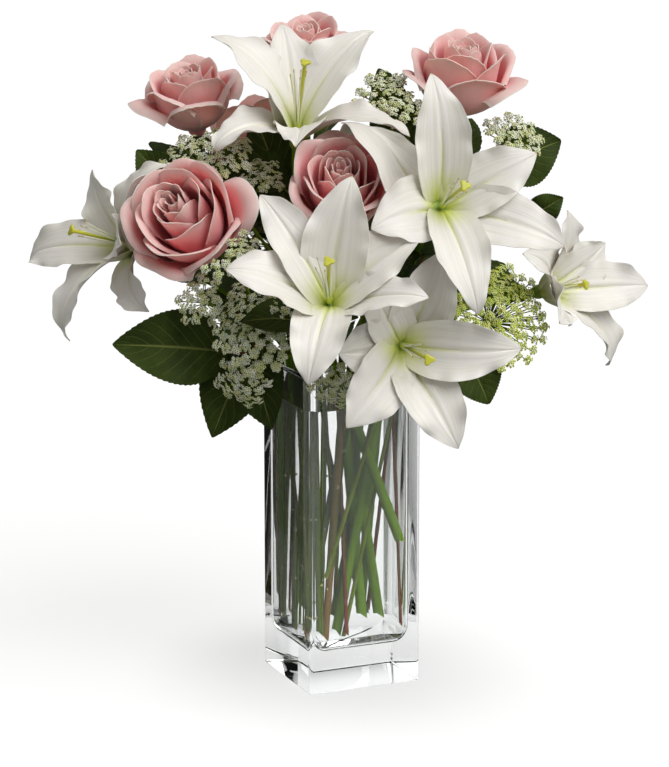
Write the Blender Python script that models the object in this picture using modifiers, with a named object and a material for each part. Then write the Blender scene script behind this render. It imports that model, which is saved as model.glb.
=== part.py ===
"""Roses, lilies and lace flowers with leafy sprigs, standing in water in a tall square glass vase.

Run with: blender --background --python part.py
Metres, +Z up. The origin is the middle of the vase's underside, and X and Y run along the vase's sides.
Flower places are measured in the bouquet's own frame, as (right, back, up) seen from its front, in millimetres.
"""

import math
import random

import bmesh
import bpy
from mathutils import Matrix, Vector
from mathutils.bvhtree import BVHTree

MM = 0.001
GAP = 0.4 * MM
SEED = 7

# Vase, in metres
VASE_SIDE = 0.090
VASE_HEIGHT = 0.240
WALL = 0.0060
FLOOR_THICKNESS = 0.030
OUTER_CORNER = 0.0030
INNER_CORNER = 0.0110
INNER_FLOOR_ROUND = 0.0130
RIM_ROUND = 0.0015
WATER_LEVEL = 0.215
INNER_HALF = VASE_SIDE / 2 - WALL

# Bouquet
BOUQUET_TURN = math.radians(-23.7)
TEPAL_THICKNESS = 0.9 * MM
PETAL_THICKNESS = 0.9 * MM
LEAF_THICKNESS = 0.8 * MM
LILY_STEM_RADIUS = 4.0 * MM
ROSE_STEM_RADIUS = 3.2 * MM
LACE_STEM_RADIUS = 1.7 * MM
TWIG_RADIUS = 1.6 * MM
GOLDEN_ANGLE = math.radians(137.508)

# Each lily: place of the throat, yaw to the right of the front, lift above the horizon, and its six tepals as
# (turn about the flower's axis, length, width, opening at the root, opening at the tip).
LILIES = {
    "lily_top": ((-32, -22, 410), 8, 66, (
        (100, 88, 42, 16, 62), (150, 100, 42, 18, 80), (203, 84, 36, 38, 140),
        (272, 52, 40, 30, 120), (337, 90, 36, 44, 112), (34, 100, 46, 18, 78))),
    "lily_right": ((70, -75, 369), 12, 26, (
        (94, 102, 42, 35, 85), (20, 78, 44, 42, 95), (-26, 100, 44, 40, 110),
        (-84, 92, 40, 40, 116), (195, 66, 50, 38, 105), (138, 84, 44, 84, 112))),
    "lily_centre": ((-8, -105, 304), -3, 42, (
        (79, 97, 48, 27, 62), (130, 97, 38, 29, 98), (179, 88, 46, 31, 80),
        (262, 74, 42, 38, 145), (345, 84, 36, 36, 88), (28, 84, 44, 36, 100))),
    "lily_low": ((42, -85, 273), 14, 6, (
        (66, 76, 46, 48, 100), (-5, 88, 44, 38, 92), (-68, 88, 44, 44, 92),
        (228, 74, 44, 50, 100), (183, 52, 48, 48, 95), (122, 56, 36, 50, 110))),
    "lily_left": ((-149, -15, 330), -62, 22, (
        (62, 84, 40, 34, 140), (122, 64, 36, 30, 70), (206, 96, 38, 24, 92),
        (262, 92, 38, 34, 125), (312, 60, 36, 60, 140), (8, 64, 36, 30, 100))),
    "lily_far_right": ((147, -5, 296), 62, 16, (
        (85, 66, 40, 30, 85), (30, 60, 42, 30, 70), (-18, 88, 40, 26, 66),
        (-62, 88, 36, 36, 125), (200, 60, 40, 30, 90), (140, 60, 36, 40, 120))),
    "lily_back": ((10, 98, 330), 172, 38, (
        (90, 84, 42, 34, 90), (30, 84, 42, 34, 100), (-30, 84, 42, 34, 105),
        (-90, 80, 42, 38, 120), (210, 84, 42, 34, 100), (150, 84, 42, 34, 95))),
}

# Each rose: middle of the head, yaw, lift and radius.
ROSES = {
    "rose_left": ((-110, -72, 361), -14, 28, 45),
    "rose_centre": ((0, -64, 387), 0, 42, 40),
    "rose_top_left": ((-110, 5, 443), -30, 74, 37),
    "rose_top": ((-27, 30, 474), -2, 72, 34),
    "rose_top_right": ((88, 0, 459), 14, 75, 42),
    "rose_back": ((-62, 88, 398), 200, 42, 40),
}

# Stems of lilies and roses in the vase's own frame: cut foot (x, y, z), place in the mouth (x, y), and lead, the
# length over which the stem keeps its slant above the rim.
STEMS = {
    "lily_top": ((12, 2, 44), (-4, 8), 60),
    "lily_right": ((-4, 24, 40), (30, -4), 50),
    "lily_centre": ((34, -29, 106), (-18, -28), 25),
    "lily_low": ((-13, -9, 36), (28, -15), 20),
    "lily_left": ((-18, 33, 38), (-33, 20), 30),
    "lily_far_right": ((20, 33, 42), (33, 14), 30),
    "lily_back": ((29, 12, 40), (4, 31), 42),
    "rose_left": ((-33, -32, 42), (-34, -13), 41),
    "rose_centre": ((-26, -21.5, 35), (-8.5, -20), 111),
    "rose_top_left": ((-34, 14, 44), (-33, 3), 70),
    "rose_top": ((-24, 4, 36), (-12, 18), 80),
    "rose_top_right": ((-33.5, -20.5, 90), (12, 3), 79),
    "rose_back": ((21, 23, 42), (-24, 31), 60),
}

# Each lace flower: its stem as above with the yaw and lift at its end, then its heads as (middle of the dome, yaw,
# lift, radius).
LACE = {
    "lace_left": (((-26.5, -4, 80), (-28.5, -28.5), 51, (-44, 46)), (
        ((-99, -35, 404), -15, 50, 36), ((-57, -25, 388), 0, 50, 17))),
    "lace_front": (((-1, 15.5, 38), (-26, -19), 16, (-20, 63)), (
        ((-59, -92, 292), -10, 30, 38), ((-79, -100, 345), -10, 40, 24), ((-103, -80, 307), -30, 30, 20))),
    "lace_drooping": (((-29.5, -36, 88), (23, -35), 14, (-12, -22)), (
        ((-72, -85, 243), -20, -20, 22), ((-2, -74, 238), 0, -25, 22))),
    "lace_top": (((6, 35.5, 40), (28, 31), 135, (75, 69)), (((41, -10, 447), 0, 60, 34),)),
    "lace_right": (((-6.5, 3, 36), (15.5, 20), 60, (13, 52)), (((128, -10, 416), 25, 50, 24),)),
    "lace_low_right": (((-8.5, -15, 36), (36, -23.5), 46, (7, 35)), (((122, -42, 288), 30, 25, 42),)),
    "lace_back": (((-16.5, 7, 36), (12.5, 23.5), 48, (128, 17)), (
        ((75, 80, 392), 140, 45, 36), ((-60, 95, 320), 210, 20, 26))),
}

# Each leafy sprig: its stem as for the lace, then its leaves as (base, tip, width, yaw and lift of the blade's face).
SPRIGS = {
    "sprig_left": (((-7.5, -20.5, 37), (-13, -12.5), 14, (-103, 1)), (
        ((-82, -45, 259), (-165, -62, 268), 54, (-10, 20)), ((-60, -30, 268), (-94, -54, 197), 50, (-20, -5)))),
    "sprig_right": (((35.5, -25.5, 40), (35.5, 4.5), 24, (117, 38)), (
        ((114, 20, 385), (163, 25, 404), 46, (20, 20)), ((140, 12, 350), (164, 10, 364), 22, (20, 10)))),
    "sprig_low": (((27, 35.5, 42), (34, -18), 13, (65, -58)), (((92, -40, 254), (108, -45, 220), 34, (10, 10)),)),
    "sprig_top_left": (((-35.5, 20, 42), (-32.5, 34.5), 70, (-86, 52)), (
        ((-118, -18, 370), (-148, -15, 403), 32, (-20, 30)), ((-40, 14, 360), (-66, 6, 430), 42, (-5, 35)))),
    "sprig_back": (((0.5, 35.5, 40), (10, 35.5), 39, (118, -40)), (
        ((40, 80, 300), (92, 108, 262), 54, (160, 30)), ((-45, 82, 268), (-92, 100, 226), 54, (200, 20)))),
}

# Colours and finish: red, green, blue, roughness
FINISHES = {
    "glass": (0.90, 0.95, 0.97, 0.02),
    "water": (0.86, 0.93, 0.94, 0.02),
    "lily_white": (0.93, 0.92, 0.86, 0.45),
    "lily_heart": (0.70, 0.74, 0.22, 0.40),
    "lily_green": (0.27, 0.43, 0.07, 0.45),
    "rose_pink": (0.90, 0.60, 0.60, 0.50),
    "rose_green": (0.22, 0.27, 0.10, 0.50),
    "lace_white": (0.74, 0.80, 0.52, 0.60),
    "leaf_green": (0.06, 0.12, 0.03, 0.45),
}

finished = []
standing = []


def place(spot):
    """A place in the bouquet's frame, in millimetres, as a point of the part's frame."""
    right, back, up = spot
    turn = Matrix.Rotation(BOUQUET_TURN, 3, "Z")
    return turn @ (Vector((right, back, up)) * MM)


def facing(yaw, lift):
    """The unit direction that a flower looks in."""
    side, rise = math.radians(yaw), math.radians(lift)
    spot = (math.sin(side) * math.cos(rise), -math.cos(side) * math.cos(rise), math.sin(rise))
    return place(spot).normalized()


def across(axis):
    """Right and up, seen by someone whom the axis points at."""
    right = Vector((0, 0, 1)).cross(axis).normalized()
    return right, axis.cross(right)


def material(name):
    """The Principled material with this finish's colour and roughness."""
    found = bpy.data.materials.get(name)
    if found:
        return found
    red, green, blue, roughness = FINISHES[name]
    made = bpy.data.materials.new(name)
    made.use_nodes = True
    shader = made.node_tree.nodes["Principled BSDF"]
    shader.inputs["Base Color"].default_value = (red, green, blue, 1)
    shader.inputs["Roughness"].default_value = roughness
    shader.inputs["Metallic"].default_value = 0
    if name in ("glass", "water"):
        shader.inputs["Transmission Weight"].default_value = 1
    return made


def object_of(mesh_or_bmesh, name="piece"):
    """An object that holds the mesh and isn't in the scene yet."""
    mesh = mesh_or_bmesh
    if isinstance(mesh, bmesh.types.BMesh):
        mesh = bpy.data.meshes.new(name)
        mesh_or_bmesh.to_mesh(mesh)
        mesh_or_bmesh.free()
    return bpy.data.objects.new(name, mesh)


def evaluated_mesh(obj):
    """A new mesh of the object as its modifiers leave it."""
    bpy.context.view_layer.update()
    graph = bpy.context.evaluated_depsgraph_get()
    return bpy.data.meshes.new_from_object(obj.evaluated_get(graph))


def keep(name, mesh, finish):
    """The finished node: one named object in the part's collection."""
    node = bpy.data.objects.new(name, mesh)
    mesh.materials.clear()
    mesh.materials.append(material(finish))
    mesh.shade_smooth()
    mesh.set_sharp_from_angle(angle=math.radians(40))
    bpy.data.collections["flowers_in_vase"].objects.link(node)
    finished.append(node)
    return node


def boolean(first, others, operation):
    """The mesh of the first object joined with, or cut by, the others, which are removed."""
    group = bpy.data.collections.new("boolean_pieces")
    bpy.context.scene.collection.children.link(group)
    bpy.context.scene.collection.objects.link(first)
    for other in others:
        group.objects.link(other)
    modifier = first.modifiers.new(operation.title(), "BOOLEAN")
    modifier.operation = operation
    modifier.operand_type = "COLLECTION"
    modifier.collection = group
    modifier.solver = "MANIFOLD"
    mesh = evaluated_mesh(first)
    for piece in (first, *others):
        bpy.data.objects.remove(piece)
    bpy.data.collections.remove(group)
    return mesh


def crossings(mesh):
    """How many pairs of the mesh's faces cross, or None when it isn't closed."""
    solid = bmesh.new()
    solid.from_mesh(mesh)
    solid.faces.ensure_lookup_table()
    closed = all(edge.is_manifold and edge.is_contiguous for edge in solid.edges)
    closed = closed and all(vertex.is_manifold for vertex in solid.verts)
    corners = [{vertex.index for vertex in face.verts} for face in solid.faces]
    tree = BVHTree.FromBMesh(solid)
    found = sum(not corners[one] & corners[two] for one, two in tree.overlap(tree)) if closed else None
    solid.free()
    return found


def thinned(mesh, ratio):
    """A copy of the mesh with this share of its triangles: the slivers along its seams go first."""
    solid = bmesh.new()
    solid.from_mesh(mesh)
    bmesh.ops.triangulate(solid, faces=solid.faces)
    trial = object_of(solid)
    bpy.context.scene.collection.objects.link(trial)
    thinning = trial.modifiers.new("Decimate", "DECIMATE")
    thinning.use_collapse_triangulate = True
    thinning.ratio = ratio
    blooms = trial.vertex_groups.new(name="above the rim")
    blooms.add([vertex.index for vertex in trial.data.vertices if vertex.co.z > VASE_HEIGHT], 1, "REPLACE")
    thinning.vertex_group = blooms.name
    thinning.vertex_group_factor = 100
    fewer = evaluated_mesh(trial)
    bpy.data.objects.remove(trial)
    return fewer


def fuse(name, pieces, finish, share):
    """One node from pieces that overlap, thinned to about this share of its triangles.

    Where thinning would spoil the solid, the pieces are joined again after moves too small to see.
    """
    random.seed(SEED)
    best, least = None, None
    for attempt in range(16):
        copies = []
        for piece in pieces:
            nudge = Vector([random.uniform(-1, 1) for _ in range(3)]) * 0.04 * MM * attempt
            copy = bpy.data.objects.new(name, piece.data.copy())
            copy.data.transform(Matrix.Translation(nudge))
            copies.append(copy)
        mesh = only_body(boolean(copies[0], copies[1:], "UNION"))
        for ratio in (share, share + 0.04, share + 0.08):
            fewer = thinned(mesh, ratio)
            faults = crossings(fewer)
            if faults is not None and (least is None or faults < least):
                best, least = fewer, faults
            if least == 0:
                break
        if least == 0:
            break
    if best is None:
        best = mesh
    for piece in pieces:
        bpy.data.objects.remove(piece)
    return keep(name, best, finish)


def sheet(rows, columns, surface, thickness):
    """A thin blade. surface gives the point at u from -1 to 1 across and t from 0 to 1 along."""
    grid = bmesh.new()
    bmesh.ops.create_grid(grid, x_segments=columns, y_segments=rows, size=1)
    for vertex in grid.verts:
        vertex.co = surface(vertex.co.x, (vertex.co.y + 1) / 2)
    bmesh.ops.triangulate(grid, faces=grid.faces)
    blade = object_of(grid)
    bpy.context.scene.collection.objects.link(blade)
    wall = blade.modifiers.new("Solidify", "SOLIDIFY")
    wall.thickness = thickness
    wall.offset = 0
    solid = object_of(evaluated_mesh(blade))
    bpy.data.objects.remove(blade)
    return solid


def tube(points, radii, resolution=1):
    """A closed tube along the points, with 4 + 2 x resolution sides."""
    curve = bpy.data.curves.new("tube", "CURVE")
    curve.dimensions = "3D"
    curve.bevel_depth = 1
    curve.bevel_resolution = resolution
    curve.use_fill_caps = True
    spline = curve.splines.new("POLY")
    spline.points.add(len(points) - 1)
    for knot, point, radius in zip(spline.points, points, radii):
        knot.co = (*point, 1)
        knot.radius = radius
    drawn = bpy.data.objects.new("tube", curve)
    bpy.context.scene.collection.objects.link(drawn)
    mesh = evaluated_mesh(drawn)
    bpy.data.objects.remove(drawn)
    solid = bmesh.new()
    solid.from_mesh(mesh)
    bmesh.ops.remove_doubles(solid, verts=solid.verts, dist=1e-5)
    return object_of(solid)


def rod(start, end, radius, end_radius, sides):
    """A straight tapered rod between two points."""
    solid = bmesh.new()
    length = (end - start).length
    bmesh.ops.create_cone(
        solid, cap_ends=True, segments=sides, radius1=radius, radius2=end_radius, depth=length)
    turn = (end - start).to_track_quat("Z", "Y").to_matrix().to_4x4()
    bmesh.ops.transform(solid, matrix=Matrix.Translation((start + end) / 2) @ turn, verts=solid.verts)
    return object_of(solid)


def ball(centre, axis, radius, length, segments, rings):
    """An egg-shaped solid whose long way is the axis."""
    solid = bmesh.new()
    bmesh.ops.create_uvsphere(solid, u_segments=segments, v_segments=rings, radius=1)
    turn = axis.to_track_quat("Z", "Y").to_matrix().to_4x4()
    size = Matrix.Diagonal((radius, radius, length, 1))
    bmesh.ops.transform(solid, matrix=Matrix.Translation(centre) @ turn @ size, verts=solid.verts)
    return object_of(solid)


def bent_clear(point):
    """The point moved out of the round space that each rose's head fills."""
    for spot, yaw, lift, radius in ROSES.values():
        room = 1.04 * radius * MM
        away = point - place(spot)
        distance = away.length
        if distance < 2 * room:
            point = place(spot) + away * ((distance**6 + room**6) ** (1 / 6) / distance)
    return point


def finished_tree():
    """One search tree of all the nodes made so far."""
    points, faces = [], []
    for node in finished:
        start = len(points)
        points.extend(vertex.co.copy() for vertex in node.data.vertices)
        faces.extend([start + corner for corner in face.vertices] for face in node.data.polygons)
    return BVHTree.FromPolygons(points, faces)


def touches(piece, tree):
    """Whether the piece crosses the surface of anything in the tree."""
    mesh = piece.data
    points = [vertex.co for vertex in mesh.vertices]
    own = BVHTree.FromPolygons(points, [face.vertices for face in mesh.polygons])
    return bool(own.overlap(tree))


def only_body(mesh):
    """Drop loose scraps and sealed hollows: the mesh's largest closed surface stays."""
    solid = bmesh.new()
    solid.from_mesh(mesh)
    left = set(solid.verts)
    shells = []
    while left:
        reached = {left.pop()}
        border = list(reached)
        while border:
            for edge in border.pop().link_edges:
                for vertex in edge.verts:
                    if vertex in left:
                        left.discard(vertex)
                        reached.add(vertex)
                        border.append(vertex)
        shells.append(reached)
    shells.sort(key=len)
    scraps = [vertex for shell in shells[:-1] for vertex in shell]
    bmesh.ops.delete(solid, geom=scraps, context="VERTS")
    solid.to_mesh(mesh)
    solid.free()
    return mesh


def tepal_surface(base, axis, shape):
    """A lily tepal: it leaves the throat steeply and curls outwards."""
    beta, length, width, root_opening, tip_opening = shape
    right, up = across(axis)
    around = math.radians(beta)
    outward = math.cos(around) * right + math.sin(around) * up
    sideways = axis.cross(outward)
    steps = 60
    line = [(3.0 * MM, 0.0)]
    angles = []
    for step in range(steps + 1):
        along = step / steps
        angle = math.radians(root_opening + (tip_opening - root_opening) * along**1.3)
        angles.append(angle)
        out, forward = line[-1]
        line.append((out + math.sin(angle) * length * MM / steps, forward + math.cos(angle) * length * MM / steps))

    def surface(u, t):
        step = min(int(t * steps + 0.5), steps)
        out, forward = line[step]
        angle = angles[step]
        inward = axis * math.sin(angle) - outward * math.cos(angle)
        swell = t**0.6 * max(0, 1 - t**2.4) ** 0.75 / 0.60
        half = (width / 2 * (0.2 * (1 - t) + 0.98 * min(swell, 1.2)) + 0.3) * MM
        cup = 0.45 * (1 - 0.75 * t) * half * u * u
        wave = 1.5 * MM * u * abs(u) * math.sin(beta + 9 * t) * min(1, 3 * t) * min(1, 3 * (1 - t))
        middle = base + axis * forward + outward * out
        return bent_clear(middle + sideways * half * u + inward * (cup + wave))

    return surface


def lily(name, spot, yaw, lift, tepals):
    """Six tepals on a small boss, with the heart as a node of its own."""
    base, axis = place(spot), facing(yaw, lift)
    pieces = [ball(base - axis * 1.5 * MM, axis, 5.5 * MM, 6 * MM, 6, 4)]
    for shape in tepals:
        pieces.append(sheet(4, 2, tepal_surface(base, axis, shape), TEPAL_THICKNESS))
    fuse(name, pieces, "lily_white", 0.5)
    lily_heart(name + "_heart", base, axis)


def lily_heart(name, base, axis):
    """The style with its three-lobed stigma, among six filaments, on the green ovary."""
    right, up = across(axis)
    tree = finished_tree()
    foot = base + axis * 6.2 * MM

    def leaning(start, lean, around, length):
        outward = math.cos(around) * right + math.sin(around) * up
        return start + (axis + outward * math.tan(lean)).normalized() * length

    pieces = [ball(foot + axis * 4 * MM, axis, 2.5 * MM, 4.5 * MM, 5, 3)]
    end = leaning(foot, math.radians(4), math.radians(-60), 62 * MM)
    pieces.append(rod(foot, end, 1.4 * MM, 1.3 * MM, 4))
    stigma = bmesh.new()
    bmesh.ops.create_uvsphere(stigma, u_segments=6, v_segments=3, radius=1)
    for vertex in stigma.verts:
        lobe = 1 + 0.28 * math.cos(3 * math.atan2(vertex.co.y, vertex.co.x))
        flat = (right * vertex.co.x + up * vertex.co.y) * 4.2 * MM * lobe
        vertex.co = end + flat + axis * vertex.co.z * 2.4 * MM
    bmesh.ops.recalc_face_normals(stigma, faces=stigma.faces)
    pieces.append(object_of(stigma))
    for filament in range(6):
        around = math.radians(60 * filament + 20)
        outward = math.cos(around) * right + math.sin(around) * up
        start = foot + outward * 1.6 * MM + axis * 3 * MM
        for lean in (15, 12, 9, 6, 3):
            piece = rod(start, leaning(start, math.radians(lean), around, 50 * MM), 0.8 * MM, 0.6 * MM, 3)
            if not touches(piece, tree):
                pieces.append(piece)
                break
            bpy.data.objects.remove(piece)
    fuse(name, pieces, "lily_heart", 0.62)


def rose(name, spot, yaw, lift, radius):
    """A nest of cupped petals round a bud, the outer ones rolled back at the rim."""
    axis = facing(yaw, lift)
    size = radius * MM
    base = place(spot) - axis * 0.82 * size
    right, up = across(axis)
    count = 9
    pieces = [ball(base + axis * 3 * MM, axis, 7 * MM, 8 * MM, 6, 4)]
    pieces.append(ball(base + axis * 0.72 * size, axis, 0.22 * size, 0.66 * size, 6, 4))
    for petal in range(count):
        place_out = petal / (count - 1)
        turn = petal * GOLDEN_ANGLE
        reach = size * (0.30 + 0.57 * place_out**0.55)
        half_angle = math.radians(72 - 22 * place_out)
        opening = -0.22 + 0.42 * place_out
        height = size * (1.50 - 0.18 * place_out)
        droop = size * 0.36 * place_out**2

        def surface(u, t):
            around = turn + u * half_angle * (0.55 + 0.45 * math.sin(math.pi * min(1, 0.15 + t * 0.75)))
            out = 4 * MM + (reach - 4 * MM) * (1 - (1 - t) ** 2.2) * (1 + opening * t**3)
            rise = height * t**1.2 - droop * t**6 - height * 0.16 * u * u * t**3
            outward = math.cos(around) * right + math.sin(around) * up
            return base + outward * out + axis * rise

        pieces.append(sheet(3, 4, surface, PETAL_THICKNESS))
    fuse(name, pieces, "rose_pink", 0.58)


def stem_path(foot, mouth, lead, end, direction):
    """Straight from the foot through the mouth, then curving to the end, where it arrives along the direction."""
    top = Vector((mouth.x, mouth.y, VASE_HEIGHT))
    slant = (top - foot).normalized()
    reach = (end - top).length
    pull = min(lead, 0.45 * reach)
    arrive = 0.42 * reach
    handles = (top, top + slant * pull, end - direction * arrive, end)
    points = [foot, top]
    for step in range(1, 6):
        t = step / 5
        weights = ((1 - t) ** 3, 3 * t * (1 - t) ** 2, 3 * t * t * (1 - t), t**3)
        points.append(sum((handle * weight for handle, weight in zip(handles, weights)), Vector()))
    return points


def stem(foot, mouth, lead, end, direction, radius, radius_at_end):
    """The path of a stem and its radii. The water gets a hole for it."""
    points = stem_path(Vector(foot) * MM, Vector(mouth) * MM, lead * MM, end, direction)
    standing.append((points[:3], radius))
    last = len(points) - 1
    return points, [radius + (radius_at_end - radius) * step / last for step in range(last + 1)]


def bloom_stem(name, spot, yaw, lift, stand_off, radius, finish):
    """The stem of a lily or rose, which ends just under the flower. A rose's carries a hip and five sepals."""
    axis = facing(yaw, lift)
    end = place(spot) - axis * stand_off
    points, radii = stem(*STEMS[name], end, axis, radius, 0.8 * radius)
    if not name.startswith("rose"):
        keep(name + "_stem", tube(points, radii).data, finish)
        return
    points.insert(-1, end - axis * 8 * MM)
    radii[-1:] = [radius, 1.6 * radius]
    pieces = [tube(points, radii)]
    right, up = across(axis)
    for sepal in range(5):
        around = math.radians(72 * sepal + 10)
        outward = math.cos(around) * right + math.sin(around) * up
        start = end - axis * 2.2 * MM + outward * 2 * MM
        pieces.append(rod(start, start + outward * 16 * MM - axis * 5 * MM, 1.8 * MM, 0.35 * MM, 3))
    fuse(name + "_stem", pieces, finish, 0.85)


def nearest_on(points, spot, below):
    """The point above the rim, at least that length before the path's end, that is nearest to the spot."""
    best, total = None, 0
    for start, end in zip(points[-2::-1], points[:0:-1]):
        length = (end - start).length
        for step in range(10):
            at = end.lerp(start, step / 10)
            allowed = total + length * step / 10 >= below and at.z > VASE_HEIGHT + 4 * MM
            if allowed and (best is None or (at - spot).length < (best - spot).length):
                best = at
        total += length
    return best


def floret_on_ray(hub, tip, look, turn):
    """A five-pointed tuft of florets, lofted down into the thin ray that carries it."""
    solid = bmesh.new()
    side, top = across(look)

    def ring(centre, reaches, side, top):
        count = len(reaches)
        angles = [2 * math.pi * corner / count + turn for corner in range(count)]
        return [solid.verts.new(centre + (math.cos(angle) * side + math.sin(angle) * top) * reach)
                for angle, reach in zip(angles, reaches)]

    rim = ring(tip, [10 * MM, 5.4 * MM] * 5, side, top)
    peak = solid.verts.new(tip + look * 2.6 * MM)
    ray_side, ray_top = across((tip - hub).normalized())
    neck = ring(tip - look * 1.8 * MM, [0.75 * MM] * 5, side, top)
    root = ring(hub, [0.6 * MM] * 5, ray_side, ray_top)
    for corner in range(10):
        solid.faces.new((rim[corner], rim[(corner + 1) % 10], peak))
    for corner in range(5):
        after = (corner + 1) % 5
        solid.faces.new((rim[2 * corner + 1], rim[2 * corner], neck[corner]))
        solid.faces.new((rim[2 * after], rim[2 * corner + 1], neck[corner], neck[after]))
        solid.faces.new((neck[after], neck[corner], root[corner], root[after]))
    solid.faces.new(root[::-1])
    bmesh.ops.triangulate(solid, faces=solid.faces)
    return object_of(solid)


def umbel(spot, yaw, lift, radius, pieces, tree):
    """A lace flower's head: rays from one hub, each with a small star of florets at its end."""
    axis = facing(yaw, lift)
    right, up = across(axis)
    centre = place(spot)
    size = radius * MM
    hub = centre - axis * 0.72 * size
    count = max(5, round(0.0118 * radius * radius))
    for ray in range(count):
        out = math.sqrt((ray + 0.5) / count)
        turn = ray * GOLDEN_ANGLE + radius
        outward = math.cos(turn) * right + math.sin(turn) * up
        tip = centre + outward * size * out * 0.90 - axis * size * 0.26 * out * out
        floret = floret_on_ray(hub, tip, (axis + outward * 0.6 * out).normalized(), ray)
        if touches(floret, tree):
            bpy.data.objects.remove(floret)
        else:
            pieces.append(floret)
    return hub, axis


def branch(fork, end):
    """A thin branch, arched a little upwards."""
    return tube([fork, fork.lerp(end, 0.5) + Vector((0, 0, 3 * MM)), end], [1.1 * MM] * 3, 0)


def lace(name, stem_values, heads):
    """A lace flower: a thin stem that branches to its heads."""
    foot, mouth, lead, arrival = stem_values
    spot, yaw, lift, radius = heads[0]
    end = place(spot) - facing(yaw, lift) * 0.72 * radius * MM
    points, radii = stem(foot, mouth, lead, end, facing(*arrival), LACE_STEM_RADIUS, 0.7 * LACE_STEM_RADIUS)
    pieces = [tube(points, radii)]
    tree = finished_tree()
    for spot, yaw, lift, radius in heads:
        hub, axis = umbel(spot, yaw, lift, radius, pieces, tree)
        pieces.append(ball(hub, axis, 1.9 * MM, 1.9 * MM, 6, 4))
        if (hub - end).length > 1 * MM:
            pieces.append(branch(nearest_on(points, hub - axis * 20 * MM, 12 * MM), hub))
    fuse(name, pieces, "lace_white", 0.46)


def leaf_surface(base, tip, width, look):
    """An oval leaf with a toothed edge, folded a little along its midrib."""
    along = tip - base
    length = along.length
    along.normalize()
    side = along.cross(look).normalized()
    face = side.cross(along)

    def surface(u, t):
        swell = max(0, math.sin(math.pi * min(1, t) ** 0.78)) ** 0.85
        tooth = 1 + 0.055 * (1 if round(t * 8) % 2 else -1)
        half = width * MM / 2 * swell * tooth + 0.6 * MM
        arch = length * 0.10 * math.sin(math.pi * t)
        fold = 0.16 * abs(u) * half + 0.9 * MM * u * math.sin(11 * t)
        return bent_clear(base + along * length * t + side * half * u + face * (arch + fold))

    return surface


def sprig(name, stem_values, leaves):
    """A leafy sprig: a twig with toothed leaves on short stalks."""
    foot, mouth, lead, arrival = stem_values
    end = place(leaves[0][0])
    points, radii = stem(foot, mouth, lead, end, facing(*arrival), TWIG_RADIUS, 0.7 * TWIG_RADIUS)
    pieces = [tube(points, radii)]
    for base, tip, width, look in leaves:
        start = place(base)
        surface = leaf_surface(start, place(tip), width, facing(*look))
        pieces.append(sheet(8, 2, surface, LEAF_THICKNESS))
        pieces.append(rod(start, surface(0, 0.1), 1.0 * MM, 0.8 * MM, 4))
        if (start - end).length > 1 * MM:
            fork = nearest_on(points, start, 15 * MM)
            pieces.append(branch(fork, start + (start - fork).normalized() * 1.5 * MM))
    fuse(name, pieces, "leaf_green", 0.85)


def rounded_block(half, bottom, top, upright_round, bottom_round, steps):
    """An upright square block with rounded vertical edges and a rounded lower edge."""
    solid = bmesh.new()
    size = Matrix.Diagonal((2 * half, 2 * half, top - bottom, 1))
    lift = Matrix.Translation((0, 0, (top + bottom) / 2))
    bmesh.ops.create_cube(solid, size=1, matrix=lift @ size)
    upright = [edge for edge in solid.edges if abs(edge.verts[0].co.z - edge.verts[1].co.z) > 1e-6]
    bmesh.ops.bevel(solid, geom=upright, offset=upright_round, segments=steps, affect="EDGES", profile=0.5)
    lower = [edge for edge in solid.edges if all(abs(vertex.co.z - bottom) < 1e-6 for vertex in edge.verts)]
    bmesh.ops.bevel(solid, geom=lower, offset=bottom_round, segments=steps, affect="EDGES", profile=0.5)
    return object_of(solid)


def vase():
    """The square glass with its thick floor."""
    outside = rounded_block(VASE_SIDE / 2, 0, VASE_HEIGHT, OUTER_CORNER, RIM_ROUND, 2)
    hollow = rounded_block(INNER_HALF, FLOOR_THICKNESS, VASE_HEIGHT + 0.02, INNER_CORNER, INNER_FLOOR_ROUND, 3)
    mesh = boolean(outside, [hollow], "DIFFERENCE")
    solid = bmesh.new()
    solid.from_mesh(mesh)
    rim = [edge for edge in solid.edges
           if all(abs(vertex.co.z - VASE_HEIGHT) < 1e-6 for vertex in edge.verts)
           and edge.calc_face_angle(0) > math.radians(60)]
    bmesh.ops.bevel(solid, geom=rim, offset=RIM_ROUND, segments=2, affect="EDGES", profile=0.5)
    solid.to_mesh(mesh)
    solid.free()
    keep("vase", mesh, "glass")


def water():
    """The water, with a plain hole for each stem that stands in it."""
    block = rounded_block(INNER_HALF - GAP, FLOOR_THICKNESS + GAP, WATER_LEVEL,
                          INNER_CORNER - GAP, INNER_FLOOR_ROUND - GAP, 3)
    cutters = []
    for points, radius in standing:
        below = points[0] - (points[1] - points[0]).normalized() * GAP
        cutters.append(tube([below, *points[1:]], [radius + 1.5 * GAP] * len(points)))
    keep("water", only_body(boolean(block, cutters, "DIFFERENCE")), "water")


def main():
    for old in list(bpy.data.objects):
        bpy.data.objects.remove(old)
    group = bpy.data.collections.new("flowers_in_vase")
    bpy.context.scene.collection.children.link(group)
    vase()
    for name, (spot, yaw, lift, radius) in ROSES.items():
        rose(name, spot, yaw, lift, radius)
    for name, (spot, yaw, lift, tepals) in LILIES.items():
        lily(name, spot, yaw, lift, tepals)
    for name, (spot, yaw, lift, tepals) in LILIES.items():
        bloom_stem(name, spot, yaw, lift, 8.2 * MM, LILY_STEM_RADIUS, "lily_green")
    for name, (spot, yaw, lift, radius) in ROSES.items():
        bloom_stem(name, spot, yaw, lift, (0.82 * radius + 5.6) * MM, ROSE_STEM_RADIUS, "rose_green")
    for name, (stem, heads) in LACE.items():
        lace(name, stem, heads)
    for name, (stem, leaves) in SPRIGS.items():
        sprig(name, stem, leaves)
    water()


if __name__ == "__main__":
    main()
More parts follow.
